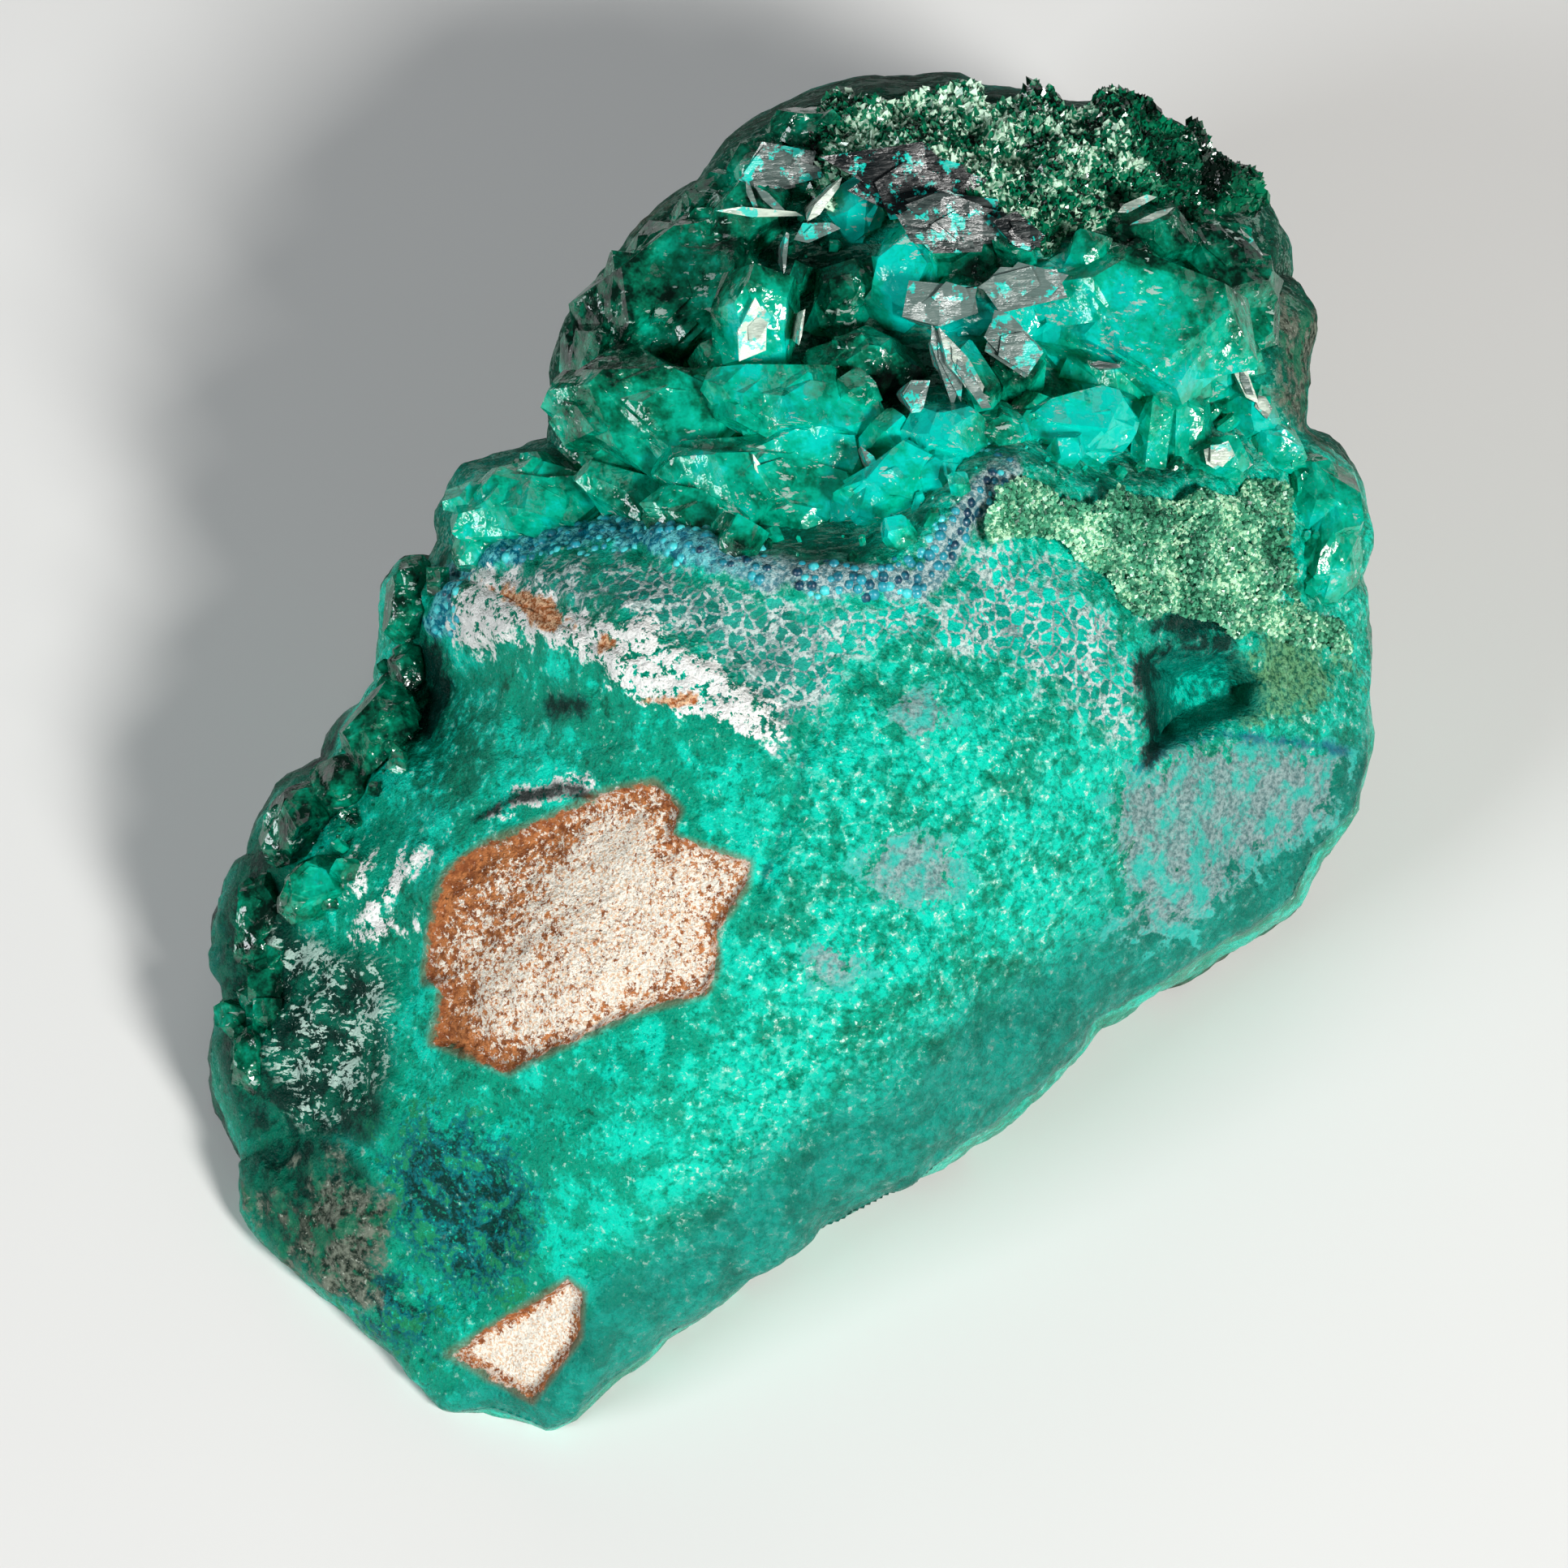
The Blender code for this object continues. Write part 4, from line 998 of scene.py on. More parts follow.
        quartz = near("quartz")
        crumbs = step(weighted((fine, 0.35), (spots, 0.65)), 0.44, 0.475)
        color = lay(color, 1.0, (0.96, 0.97, 0.94), quartz, crumbs)
        stain = ramp(fine, (0.42, 0.12, 0.03), (0.4, 0.6, (0.92, 0.58, 0.34)))
        color = mix(near("rust"), color, stain)
        color = lay(color, 0.7, (0.0, 0.07, 0.06), near("seam"))
        strands = weighted((wander, 0.80), (spots, 0.20))
        # painted shade, darkening toward the hollow at the left
        color = lay(color, 0.75, self.emerald, near("dusk"), step(spots, 0.62, 0.44))
        blue = ramp(strands, (0.0, 0.008, 0.012), (0.45, 0.53, (0.0, 0.12, 0.15)))
        blue = lay(blue, 0.9, (0.01, 0.22, 0.07), step(strands, 0.52, 0.57))
        color = lay(color, 0.90, blue, near("teal"), step(fine, 0.70, 0.56))
        moss = ramp(fine, (0.01, 0.07, 0.03), (0.38, 0.60, (0.16, 0.38, 0.17)))
        color = lay(color, 0.80, moss, near("olive"))
        color = lay(color, 0.85, mix(wander, (0.0, 0.03, 0.02), (0.0, 0.30, 0.22)), near("cavity"))
        pool = ramp(spots, (0.0, 0.20, 0.14), (0.40, 0.60, (0.0, 0.62, 0.46)))
        color = lay(color, 0.90, pool, near("pool"))
        # painted shadow in the hollows and under the pocket's rim, joined with the dark gap over the bare
        # patch
        dark = either(near("dark"), near("crack"))
        color = lay(color, 0.95, self.night, dark)
        # the ground between the crystals: painted light where they let light through, painted shade where
        # they are dark
        lit = weighted((graph.attribute("lit"), 1.0), (fine, 0.8), (-0.4, 1.0))
        ground = ramp(lit, (0.0, 0.03, 0.016), (0.05, 0.85, (0.0, 0.50, 0.36)))
        ground = lay(ground, 0.55, self.emerald, step(spots, 0.55, 0.44))
        ground = lay(ground, 0.20, self.chalk, flecks)
        bare_ground = near("ground")
        color = mix(bare_ground, color, ground)

        bare, cream = near("brown"), near("cream")
        depth = either(graph.attribute("brown"), graph.attribute("cream"))
        grains = graph.noise(place, 5.2, 3.0, 0.8)
        inner, core = step(depth, 0.0, 1.4), step(depth, 0.1, 0.9)
        rightward = step(graph.attribute("speckled"), -10.0, -3.0)
        pale = weighted((grains, 1.0), (broad, 0.35), (inner, 0.13), (times(cream, core), 0.30),
                        (rightward, 0.11))
        pale = step(pale, 0.76, 0.85)
        rock = ramp(spots, self.umber, (0.38, 0.60, self.rust))
        rock = mix(pale, rock, ramp(grit, (0.86, 0.60, 0.40), (0.36, 0.52, self.cream)))
        rock = lay(rock, 0.90, (0.03, 0.03, 0.02), step(spots, 0.70, 0.73))
        bare = either(bare, cream)
        color = mix(bare, color, rock)
        rim = (step(depth, -0.22, 0.02), step(depth, 0.30, 0.06))
        color = lay(color, 0.50, (0.22, 0.06, 0.02), *rim)

        host = near("host", weighted((broad, 0.7), (spots, 0.3)))
        stone = ramp(spots, (0.006, 0.016, 0.010), (0.36, 0.64, (0.17, 0.20, 0.155)))
        stone = lay(stone, 0.65, (0.010, 0.020, 0.012), step(broad, 0.52, 0.40))
        stone = lay(stone, 0.7, (0.50, 0.56, 0.47), step(fine, 0.60, 0.70))
        stone = lay(stone, 0.75, (0.0, 0.16, 0.08), step(wander, 0.48, 0.60))
        color = mix(host, color, stone)

        dry = either(bare, either(host, times(grey, 0.6)))
        dry = either(dry, times(bare_ground, 0.7))
        polish = {0: dry, 2: graph.between(fine, 0.12, 0.40), 3: 0.85}
        rough = graph.node("Mix", polish, data_type="FLOAT").outputs[0]
        rugged = step(either(depth, graph.attribute("quartz")), -0.1, 0.3)
        bumps = weighted((fine, 0.55), (spots, 0.35), (times(right, cells.outputs["Dome"]), 0.35),
                         (times(rugged, fine), 0.8))
        graph.finish(shader, Base_Color=color, Roughness=rough, Normal=graph.bump(bumps, 0.8, 0.30), IOR=1.5,
                     Specular_IOR_Level=0.10)
        return material


@dataclass
class MatrixRock:
    """The block that everything grows on."""

    relief: Relief
    cells: int = 280
    back_lumps: float = 1.1
    base_snap: float = 0.02
    bare_depth: float = 4.0
    patch_sink: float = 0.30
    skin_step: float = 0.15

    def regions(self, points: np.ndarray) -> dict[str, np.ndarray]:
        """How far inside each coloured region every point of the front lies.

        Args:
            points: layout points.

        Returns:
            Signed distances in millimetres, by region.
        """
        across, up = points.T
        regions = {
            "speckled": across - 0.1 - 0.3 * up,
            "band": 0.59 * across - 0.81 * up - 7.6,
            # painted light and shade under the crystals, from the lumps' brightness
            "lit": brightness_at(points),
        }
        parts = []
        for name, rows in REGION_OUTLINES.items():
            parts += [(name, inside_distance(points, corners)) for corners in rows]
        for name, rows in REGION_LINES.items():
            parts += [(name, half - segment_distance(points, corners)) for half, corners in rows]
        for name, rows in REGION_SPOTS.items():
            parts += [(name, ellipse_distance(points, *spot)) for spot in rows]
        for name, distance in parts:
            regions[name] = np.maximum(regions.get(name, -np.inf), distance)
        return regions

    def lumps(self, places: np.ndarray, inward: np.ndarray, regions: dict[str, np.ndarray]) -> np.ndarray:
        """Relief along the normal: broad noise, finer octaves, grain domes, and steps at patches.

        Args:
            places: world places in millimetres.
            inward: share of the way into the broad lumps of the back.
            regions: signed distances of the coloured regions.

        Returns:
            Outward moves in millimetres.
        """
        sites = places - np.array((*self.relief.face.shift, 0.0))
        rise = octaves(sites, BROAD_RELIEF)
        rise += self.back_lumps * inward * lattice_noise(sites / 7.0, 13)
        rise += octaves(sites, FINE_RELIEF)
        bare = smooth_step(np.maximum(regions["brown"], regions["cream"]) / 0.2)
        rise -= self.patch_sink * bare
        rise += bare * (0.07 * cell_domes(sites / 0.35, 21) + 0.05 * lattice_noise(sites / 0.25, 43))
        grainy = np.clip(smooth_step(regions["network"]) + smooth_step(regions["navy"] / 0.3), 0, 1)
        rise += 0.16 * grainy * cell_domes(sites / 0.42, 3)
        rise += 0.22 * smooth_step(regions["quartz"] / 0.5) * cell_domes(sites / 0.45, 8)
        rough = smooth_step(regions["flank"] / 0.8)
        rise += rough * (0.25 * cell_domes(sites / 1.3, 12) + 0.08 * lattice_noise(sites / 0.5, 41))
        rise -= 0.15 * smooth_step(1 + regions["seam"] / 0.25)
        rise += (1 - bare) * (0.08 * cell_domes(sites / 0.7, 17) + 0.04 * cell_domes(sites / 0.33, 19))
        return rise

    def build(self) -> bpy.types.Mesh:
        """The block: a fine front grid and a back grid of half as many cells, joined at the rim.

        Returns:
            The mesh, with each region's distance as a point attribute.
        """
        face = self.relief.face
        grid, coarse = DiscGrid(self.cells), DiscGrid(self.cells // 2)
        angle, share = grid.polar()
        points = face.polar_points(angle, face.outline_radius(angle) * share)
        front = np.column_stack((points, self.relief.front_toward(points)))
        back_angle, back_share = coarse.polar()
        inner = back_share < 1 - 1e-9
        back, drop = self.relief.back_layout(back_angle[inner], back_share[inner])
        down, along = np.divmod(np.arange(len(back_share)), coarse.cells + 1)
        index = 2 * down * (grid.cells + 1) + 2 * along
        index[inner] = len(front) + np.arange(len(back))
        loop = grid.rim_loop()
        fillets = np.column_stack((loop[0::2], np.roll(loop, -2)[0::2], loop[1::2]))
        triangles = np.concatenate((grid.triangles(), index[coarse.triangles()][:, ::-1], fillets))
        places = face.locate(np.concatenate((front, back)))
        mesh = mesh_from_arrays("matrix_block", places * MM, triangles, smooth=True)
        normals = read(mesh, "normal")

        rim = self.relief.rim_toward(points)
        depth = np.concatenate((np.minimum(rim - front[:, 2], 0), drop))
        beyond = -1.5 * drop - 0.3
        regions = {name: np.concatenate((value, beyond)) for name, value in self.regions(points).items()}
        regions["host"] = np.maximum(regions["host"], depth - self.bare_depth)
        regions["dark"] = np.minimum(regions["dark"], -0.8 * depth - 1.2)
        for name, outline in (("ground", UPLAND), ("flank", FLANK)):
            regions[name][len(front):] = np.minimum(inside_distance(back[:, :2], outline) + 1.5, 5.0 - drop)
        # on the back this painted light and shade fades into random patches
        spread = face.locate(back)
        patches = 0.20 + 0.45 * lattice_noise(spread / 3.1, 71) + 0.25 * lattice_noise(spread / 1.2, 72)
        fading = smooth_step(1 - drop / 1.5)
        regions["lit"][len(front):] = patches + fading * (brightness_at(back[:, :2]) - patches)
        buried = np.clip((self.relief.front_toward(back[:, :2]) - back[:, 2]) / 6.0, 0, 1)
        inward = np.concatenate((np.zeros(len(front)), buried))
        places += normals * self.lumps(places, inward, regions)[:, None]
        places[np.abs(places[:, 2]) < self.base_snap, 2] = 0.0
        mesh.vertices.foreach_set("co", (places * MM).astype(np.float32).ravel())
        for name, value in regions.items():
            store(mesh, name, np.clip(value, -8, 8))
        self.cut_base(mesh)
        return mesh

    def cut_base(self, mesh: bpy.types.Mesh) -> None:
        """Cut the block level with the ground and close the cut with one flat face.

        Args:
            mesh: the block.
        """
        shape = bmesh.new()
        shape.from_mesh(mesh)
        everything = shape.verts[:] + shape.edges[:] + shape.faces[:]
        cut = bmesh.ops.bisect_plane(
            shape, geom=everything, dist=1e-9, plane_co=(0, 0, 0), plane_no=(0, 0, 1), clear_inner=True
        )
        border = [edge for edge in cut["geom_cut"] if isinstance(edge, bmesh.types.BMEdge)]
        base = bmesh.ops.edgeloop_fill(shape, edges=border)["faces"]
        bmesh.ops.recalc_face_normals(shape, faces=shape.faces[:])
        bmesh.ops.triangulate(shape, faces=base)
        shape.to_mesh(mesh)
        shape.free()
        places = np.maximum(read(mesh, "co"), np.array((-np.inf, -np.inf, 0.0), dtype=np.float32))
        mesh.vertices.foreach_set("co", places.ravel())
        mesh.update()

    def skin(self, points: np.ndarray) -> tuple[np.ndarray, np.ndarray]:
        """Places and normals of the finished front, from small steps across and up.

        Args:
            points: layout points.

        Returns:
            World millimetres and unit normals.
        """
        def lifted(moved: np.ndarray) -> np.ndarray:
            """World places of layout points on the plain face."""
            return self.relief.face.locate(np.column_stack((moved, self.relief.front_toward(moved))))

        right, above = (lifted(points + step) - lifted(points - step) for step in np.eye(2) * self.skin_step)
        normals = unit(np.cross(right, above))
        places = lifted(points)
        rise = self.lumps(places, np.zeros(len(points)), self.regions(points))
        return places + normals * rise[:, None], normals

    def dress(self) -> None:
        """Build the block and give it its finish."""
        add_piece(self.build(), MatrixFinish().build(), "matrix", "matrix_rock")


@dataclass
class CrystalSet:
    """Many six-sided crystals, each closed by three rhombic faces at both ends."""

    centres: np.ndarray
    frames: np.ndarray
    radii: np.ndarray
    halves: np.ndarray
    glow: np.ndarray
    slope: float = 1.23

    def placed(self, local: np.ndarray) -> np.ndarray:
        """World millimetres of every crystal's corners, given in its own frame."""
        return (np.einsum("ncj,njk->nck", local, self.frames) + self.centres[:, None]).reshape(-1, 3)

    def halved(self, quads: list, corners: int) -> np.ndarray:
        """Two triangles for each four-cornered face of every crystal."""
        one = np.array([quad[:3] for quad in quads] + [(quad[0], *quad[2:]) for quad in quads])
        return (one + corners * np.arange(len(self.radii))[:, None, None]).reshape(-1, 3)

    def corners(self) -> np.ndarray:
        """Fourteen corners each: two tips, and a ring at each end whose corners rise by turns.

        Returns:
            World millimetres, fourteen rows to a crystal.
        """
        turns = np.arange(6) * math.pi / 3
        fall = self.slope * self.radii[:, None] * np.where(np.arange(6) % 2 == 0, 1.0, 0.5)
        other = self.slope * self.radii[:, None] * np.where(np.arange(6) % 2 == 0, 0.5, 1.0)
        least = 0.05 * self.halves[:, None]
        local = np.zeros((len(self.radii), 14, 3))
        local[:, 0, 2], local[:, 13, 2] = self.halves, -self.halves
        for first, drop, end in ((1, fall, 1), (7, other, -1)):
            local[:, first:first + 6, 0] = self.radii[:, None] * np.cos(turns)
            local[:, first:first + 6, 1] = self.radii[:, None] * np.sin(turns)
            local[:, first:first + 6, 2] = end * np.maximum(self.halves[:, None] - drop, least)
        return self.placed(local)

    def triangles(self) -> np.ndarray:
        """Twenty-four triangles each: six sides and three rhombs at each end, split in two.

        Returns:
            Three corner numbers a row.
        """
        quads = [(1 + side, 7 + side, 7 + (side + 1) % 6, 1 + (side + 1) % 6) for side in range(6)]
        quads += [(0, 1 + (side - 1) % 6, 1 + side, 1 + (side + 1) % 6) for side in (0, 2, 4)]
        quads += [(13, 7 + (side + 1) % 6, 7 + side, 7 + (side - 1) % 6) for side in (1, 3, 5)]
        return self.halved(quads, 14)

    def build(self, name: str) -> bpy.types.Mesh:
        """One mesh of them all.

        Args:
            name: the mesh's name.

        Returns:
            The mesh, with each one's glow as a point attribute.
        """
        mesh = mesh_from_arrays(name, self.corners() * MM, self.triangles(), smooth=False)
        store(mesh, "glow", np.repeat(self.glow, len(mesh.vertices) // len(self.glow)))
        return mesh


@dataclass
class GrainSet(CrystalSet):
    """Many tiny rhombohedra."""

    def corners(self) -> np.ndarray:
        """Eight corners each: two tips, and rings of three at a third of the height, turned apart.

        Returns:
            The placed corners.
        """
        turns = np.arange(6) * math.pi / 3
        local = np.zeros((len(self.radii), 8, 3))
        local[:, 0, 2], local[:, 7, 2] = self.halves, -self.halves
        local[:, 1:7, 0] = self.radii[:, None] * np.cos(turns)
        local[:, 1:7, 1] = self.radii[:, None] * np.sin(turns)
        local[:, 1:7, 2] = self.halves[:, None] / 3 * np.where(np.arange(6) % 2 == 0, 1.0, -1.0)
        return self.placed(local)

    def triangles(self) -> np.ndarray:
        """Twelve triangles each: three rhombs at each tip, split in two.

        Returns:
            Three corner numbers a row.
        """
        quads = [(0, 1 + side, 2 + side, 1 + (side + 2) % 6) for side in (0, 2, 4)]
        quads += [(7, 1 + (side + 1) % 6, 1 + side, 1 + (side - 1) % 6) for side in (0, 2, 4)]
        return self.halved(quads, 8)


def frames_about(axes: np.ndarray, twists: np.ndarray) -> np.ndarray:
    """Frames whose third row is each axis and whose first row is turned about it.

    Args:
        axes: directions, one row each.
        twists: turns in radians.

    Returns:
        Three rows for each frame.
    """
    third = unit(axes)
    helper = np.where(np.abs(third[:, 2:]) < 0.9, (0.0, 0.0, 1.0), (1.0, 0.0, 0.0))
    first = unit(np.cross(helper, third))
    second = np.cross(third, first)
    cosine, sine = np.cos(twists)[:, None], np.sin(twists)[:, None]
    return np.stack((first * cosine + second * sine, second * cosine - first * sine, third), axis=1)


def brightness_at(points: np.ndarray) -> np.ndarray:
    """Painted light and shade: how brightly light comes through, from the nearby lumps' values, weighted by
    bells over them.

    Args:
        points: layout points.

    Returns:
        The brightness at each point.
    """
    total, weight = np.full(len(points), 1.5e-3), np.full(len(points), 1e-2)
    for across, up, _, long, wide, turn, bright in LUMPS:
        scaled = 1 - ellipse_distance(points, (across, up), (long, wide), turn) / min(long, wide)
        bell = np.exp(-3 * scaled ** 2)
        total, weight = total + bell * bright, weight + bell
    return total / weight


def body_within(normals: np.ndarray, reach: np.ndarray) -> tuple[np.ndarray, list]:
    """The solid inside a set of planes: its corners are where three planes meet uncut.

    Args:
        normals: the planes' outward unit normals.
        reach: the planes' distances from the origin.

    Returns:
        Corner places, and the corners round each face, anticlockwise from outside.
    """
    triples = np.array(list(combinations(range(len(normals)), 3)))
    planes = normals[triples]
    apart = np.abs(np.linalg.det(planes)) > 1e-3
    triples, planes = triples[apart], planes[apart]
    corners = np.linalg.solve(planes, reach[triples][..., None])[..., 0]
    kept = ((corners @ normals.T) <= reach + 1e-7).all(axis=1)
    triples, corners = triples[kept], corners[kept]
    faces = []
    for number, normal in enumerate(normals):
        ring = np.flatnonzero((triples == number).any(axis=1))
        if len(ring) < 3:
            continue
        rows = frames_about(normal[None], np.zeros(1))[0]
        flat = (corners[ring] - corners[ring].mean(axis=0)) @ rows[:2].T
        faces.append(tuple(int(corner) for corner in ring[np.argsort(np.arctan2(flat[:, 1], flat[:, 0]))]))
    return corners, faces


def grown_lump(halves: np.ndarray, facets: int, random: np.random.Generator) -> tuple[np.ndarray, list]:
    """A lump with flat faces: the solid inside planes that just cut a spheroid, spread in a spiral.

    Args:
        halves: the spheroid's half axes.
        facets: how many planes.
        random: where the planes' sway and depth come from.

    Returns:
        Corner places and faces.
    """
    steps = np.arange(facets) + 0.5
    heights, turns = 1 - 2 * steps / facets, steps * math.pi * (3 - math.sqrt(5))
    rings = np.sqrt(1 - heights ** 2)
    normals = np.column_stack((rings * np.cos(turns), rings * np.sin(turns), heights))
    normals = unit(normals + random.normal(0, 0.16, normals.shape))
    reach = np.linalg.norm(normals * halves, axis=1) * random.uniform(0.84, 1.0, facets)
    return body_within(normals, reach)


def uneven_crystal(
    radius: float, half: float, random: np.random.Generator, extra: tuple = ()
) -> tuple[np.ndarray, list]:
    """A crystal grown unevenly: six sides and six end faces at unequal distances, and chips.

    Args:
        radius: mean distance to the corners of the six sides.
        half: half its length.
        random: where the distances and the chips come from.
        extra: normals of further faces, cut at three quarters of the radius.

    Returns:
        Corner places and faces.
    """
    turns = np.arange(6) * math.pi / 3 + math.pi / 6
    sides = np.column_stack((np.cos(turns), np.sin(turns), np.zeros(6)))
    turns = np.arange(6) % 3 * 2 * math.pi / 3 + np.repeat((0.0, math.pi / 3), 3)
    ends = unit(np.column_stack((1.05 * np.cos(turns), 1.05 * np.sin(turns), np.repeat((1.0, -1.0), 3))))
    chips = unit(random.normal(0, 1, (4, 3)))
    chip_reach = np.hypot(radius * np.hypot(chips[:, 0], chips[:, 1]), half * chips[:, 2])
    reach = [
        0.87 * radius * random.uniform(0.82, 1.12, 6),
        half * np.abs(ends[:, 2]) * random.uniform(0.85, 1.08, 6),
        chip_reach * random.uniform(0.84, 0.97, 4),
        np.full(len(extra), 0.74 * radius),
    ]
    normals = np.concatenate((sides, ends, chips, np.reshape(extra, (-1, 3))))
    return body_within(normals, np.concatenate(reach))


def cleaved_plate(halves: tuple, thickness: float, random: np.random.Generator) -> tuple[np.ndarray, list]:
    """A flat plate with five uneven sides, stretched to its half length and half width.

    Args:
        halves: half length and half width.
        thickness: from face to face.
        random: where the sides' turns and distances come from.

    Returns:
        Corner places and faces.
    """
    turns = (np.arange(5) + random.uniform(-0.30, 0.30, 5)) * 2 * math.pi / 5
    slope = random.uniform(-0.45, -0.05, 5)
    sides = np.column_stack((np.cos(turns), np.sin(turns), slope))
    size = np.linalg.norm(sides, axis=1)
    normals = np.concatenate((sides / size[:, None], ((0.0, 0.0, 1.0), (0.0, 0.0, -1.0))))
    reach = np.concatenate(((random.uniform(0.65, 1.0, 5) + slope) / size, (1.0, 1.0)))
    corners, faces = body_within(normals, reach)
    return corners * (*halves, thickness / 2), faces


@dataclass
class BodyPile:
    """Separate closed bodies gathered into one mesh."""

    places: list = field(default_factory=list)
    faces: list = field(default_factory=list)
    tones: list = field(default_factory=list)
    count: int = 0

    def add(self, corners: np.ndarray, faces: list, tone: float = 0.0) -> None:
        """Add one body whose corners are world millimetres.

        Args:
            corners: one row each.
            faces: corner numbers of each face.
            tone: its brightness.
        """
        self.places.append(corners)
        self.faces += [tuple(self.count + corner for corner in face) for face in faces]
        self.tones.append(np.full(len(corners), tone))
        self.count += len(corners)

    def build(self, name: str) -> bpy.types.Mesh:
        """All the bodies as one mesh.

        Args:
            name: the mesh's name.

        Returns:
            The mesh.
        """
        mesh = bpy.data.meshes.new(name)
        mesh.from_pydata((np.concatenate(self.places) * MM).tolist(), [], self.faces)
        return mesh

    def fused(self, name: str) -> bpy.types.Mesh:
        """All the bodies grown together into one, which keeps their flat faces.

        Args:
            name: the mesh's name.

        Returns:
            The joined body.
        """
        seed = show(f"{name}_seed", self.seed_body(f"{name}_seed"))
        piece = show(name, self.build(f"{name}_bodies"))
        join = piece.modifiers.new("join", "BOOLEAN")
        join.operation, join.solver, join.use_self, join.object = "UNION", "EXACT", True, seed
        joined = bpy.data.meshes.new_from_object(piece.evaluated_get(bpy.context.evaluated_depsgraph_get()))
        for item in (seed, piece):
            bpy.data.meshes.remove(item.data)
        joined.name = name
        return joined

    def seed_body(self, name: str) -> bpy.types.Mesh:
        """A small tetrahedron inside the first body, for the join to start from.

        Args:
            name: the mesh's name.

        Returns:
            The mesh.
        """
        centre = self.places[0].mean(axis=0)
        corners = centre + 0.05 * np.array(((1, 1, 1), (1, -1, -1), (-1, 1, -1), (-1, -1, 1)))
        mesh = bpy.data.meshes.new(name)
        mesh.from_pydata((corners * MM).tolist(), [], [(0, 1, 2), (0, 3, 1), (0, 2, 3), (1, 3, 2)])
        return mesh


@dataclass
class CrystalCluster:
    """Grown lumps of crystal with ledges on them, and small crystals crowded between them."""

    rock: MatrixRock
    name: str
    node: str
    extent: Callable
    lumps: tuple
    crystals: tuple
    small: int
    middling: int
    middling_radius: float
    seed: int
    small_radius: float = 0.13
    random: np.random.Generator = field(init=False)

    def __post_init__(self) -> None:
        """Seed the cluster's own random draws."""
        self.random = np.random.default_rng(self.seed)

    def add_lump(self, pile: BodyPile, row: tuple) -> None:
        """Add a lump, with ledges of parallel growth half sunk in its upper side.

        Args:
            pile: where the bodies go.
            row: the lump's row of the table.
        """
        across, up, proud, long, wide, turn, _ = row
        face = self.rock.relief.face
        cosine, sine = math.cos(math.radians(turn)), math.sin(math.radians(turn))
        rows = np.array(((cosine, sine, 0), (-sine, cosine, 0), (0, 0, 1))) @ face.axes()
        centre = self.rock.relief.place_over(across, up, proud)
        halves = np.array((long, wide, 0.35 + 0.95 * wide))
        corners, faces = grown_lump(halves, round(18 + 7 * wide * long ** 0.5), self.random)
        pile.add(corners @ rows + centre, faces)
        for size, share, out, facets in ((0.70, 1.5, 0.36, 16), (0.30, 1.6, 0.76, 11)):
            for _ in range(round(share * long * wide)):
                way = self.random.normal(0, 1, 3)
                way[2] = abs(way[2])
                spot = out * halves * way / np.linalg.norm(way)
                scale = size * self.random.uniform(0.7, 1.3) * halves * (1.25, 0.85, 0.9)
                self.random.normal(0, 0.16, 3)  # unused, but the draws after it count on it
                corners, faces = grown_lump(scale, facets, self.random)
                pile.add(corners @ rows + centre + spot @ rows, faces)

    def bodies(self) -> BodyPile:
        """The lumps, the plain crystals of the table, and middling ones that stand between them.

        Returns:
            All the bodies that are fused.
        """
        face, pile = self.rock.relief.face, BodyPile()
        for row in self.lumps:
            self.add_lump(pile, row)
        for row in self.crystals:
            across, up, proud, radius, half, axis, twist = row
            upright = Vector(axis).to_track_quat("Z", "Y").to_matrix()
            rows = np.array(upright @ Matrix.Rotation(math.radians(twist), 3, "Z")).T @ face.axes()
            gleam = (tuple(rows @ key_gleam(face)),) if row is GLEAMING else ()
            corners, faces = uneven_crystal(1.15 * radius, half, self.random, gleam)
            pile.add(corners @ rows + self.rock.relief.place_over(across, up, proud), faces)
        points = scatter_points(self.extent, self.middling, self.random)
        places, normals = self.rock.skin(points)
        sway = sway_at(places / 2.4)
        frames = frames_about(normals + 1.2 * sway, 2.0 * sway[:, 0])
        for place, rows in zip(places, frames):
            radius = self.middling_radius * self.random.uniform(0.6, 1.5)
            corners, faces = uneven_crystal(radius, 1.6 * radius, self.random)
            pile.add(corners @ rows + place + 0.15 * radius * rows[2], faces)
        return pile

    def store_glow(self, mesh: bpy.types.Mesh) -> None:
        """Store painted light and shade at each corner of the joined crystals: how brightly light comes
        through.

        Args:
            mesh: the crystals.
        """
        places = read(mesh, "co") / MM
        glow = brightness_at(self.rock.relief.face.layout(places)) + 0.12 * lattice_noise(places / 0.9, 84)
        store(mesh, "glow", np.clip(glow, 0, 1))

    def scattered(self) -> CrystalSet:
        """Small crystals at random places inside the outline, standing on the rock's skin.

        Returns:
            The small crystals.
        """
        points = scatter_points(self.extent, self.small, self.random)
        places, normals = self.rock.skin(points)
        count = len(points)
        radii = self.small_radius * (0.35 + 1.5 * self.random.power(0.55, count) ** 2)
        sway = sway_at(places / 1.9)
        axes = normals + 1.3 * sway + self.random.normal(0, 0.22, (count, 3))
        frames = frames_about(axes, 2.0 * sway[:, 0] + self.random.normal(0, 0.2, count))
        centres = places + frames[:, 2] * (radii * self.random.uniform(0.2, 1.2, count))[:, None]
        # painted light and shade, as on the large crystals
        glow = np.clip(brightness_at(points) + self.random.uniform(-0.2, 0.2, count), 0, 1)
        return CrystalSet(centres, frames, radii, radii * self.random.uniform(1.3, 2.6, count), glow)

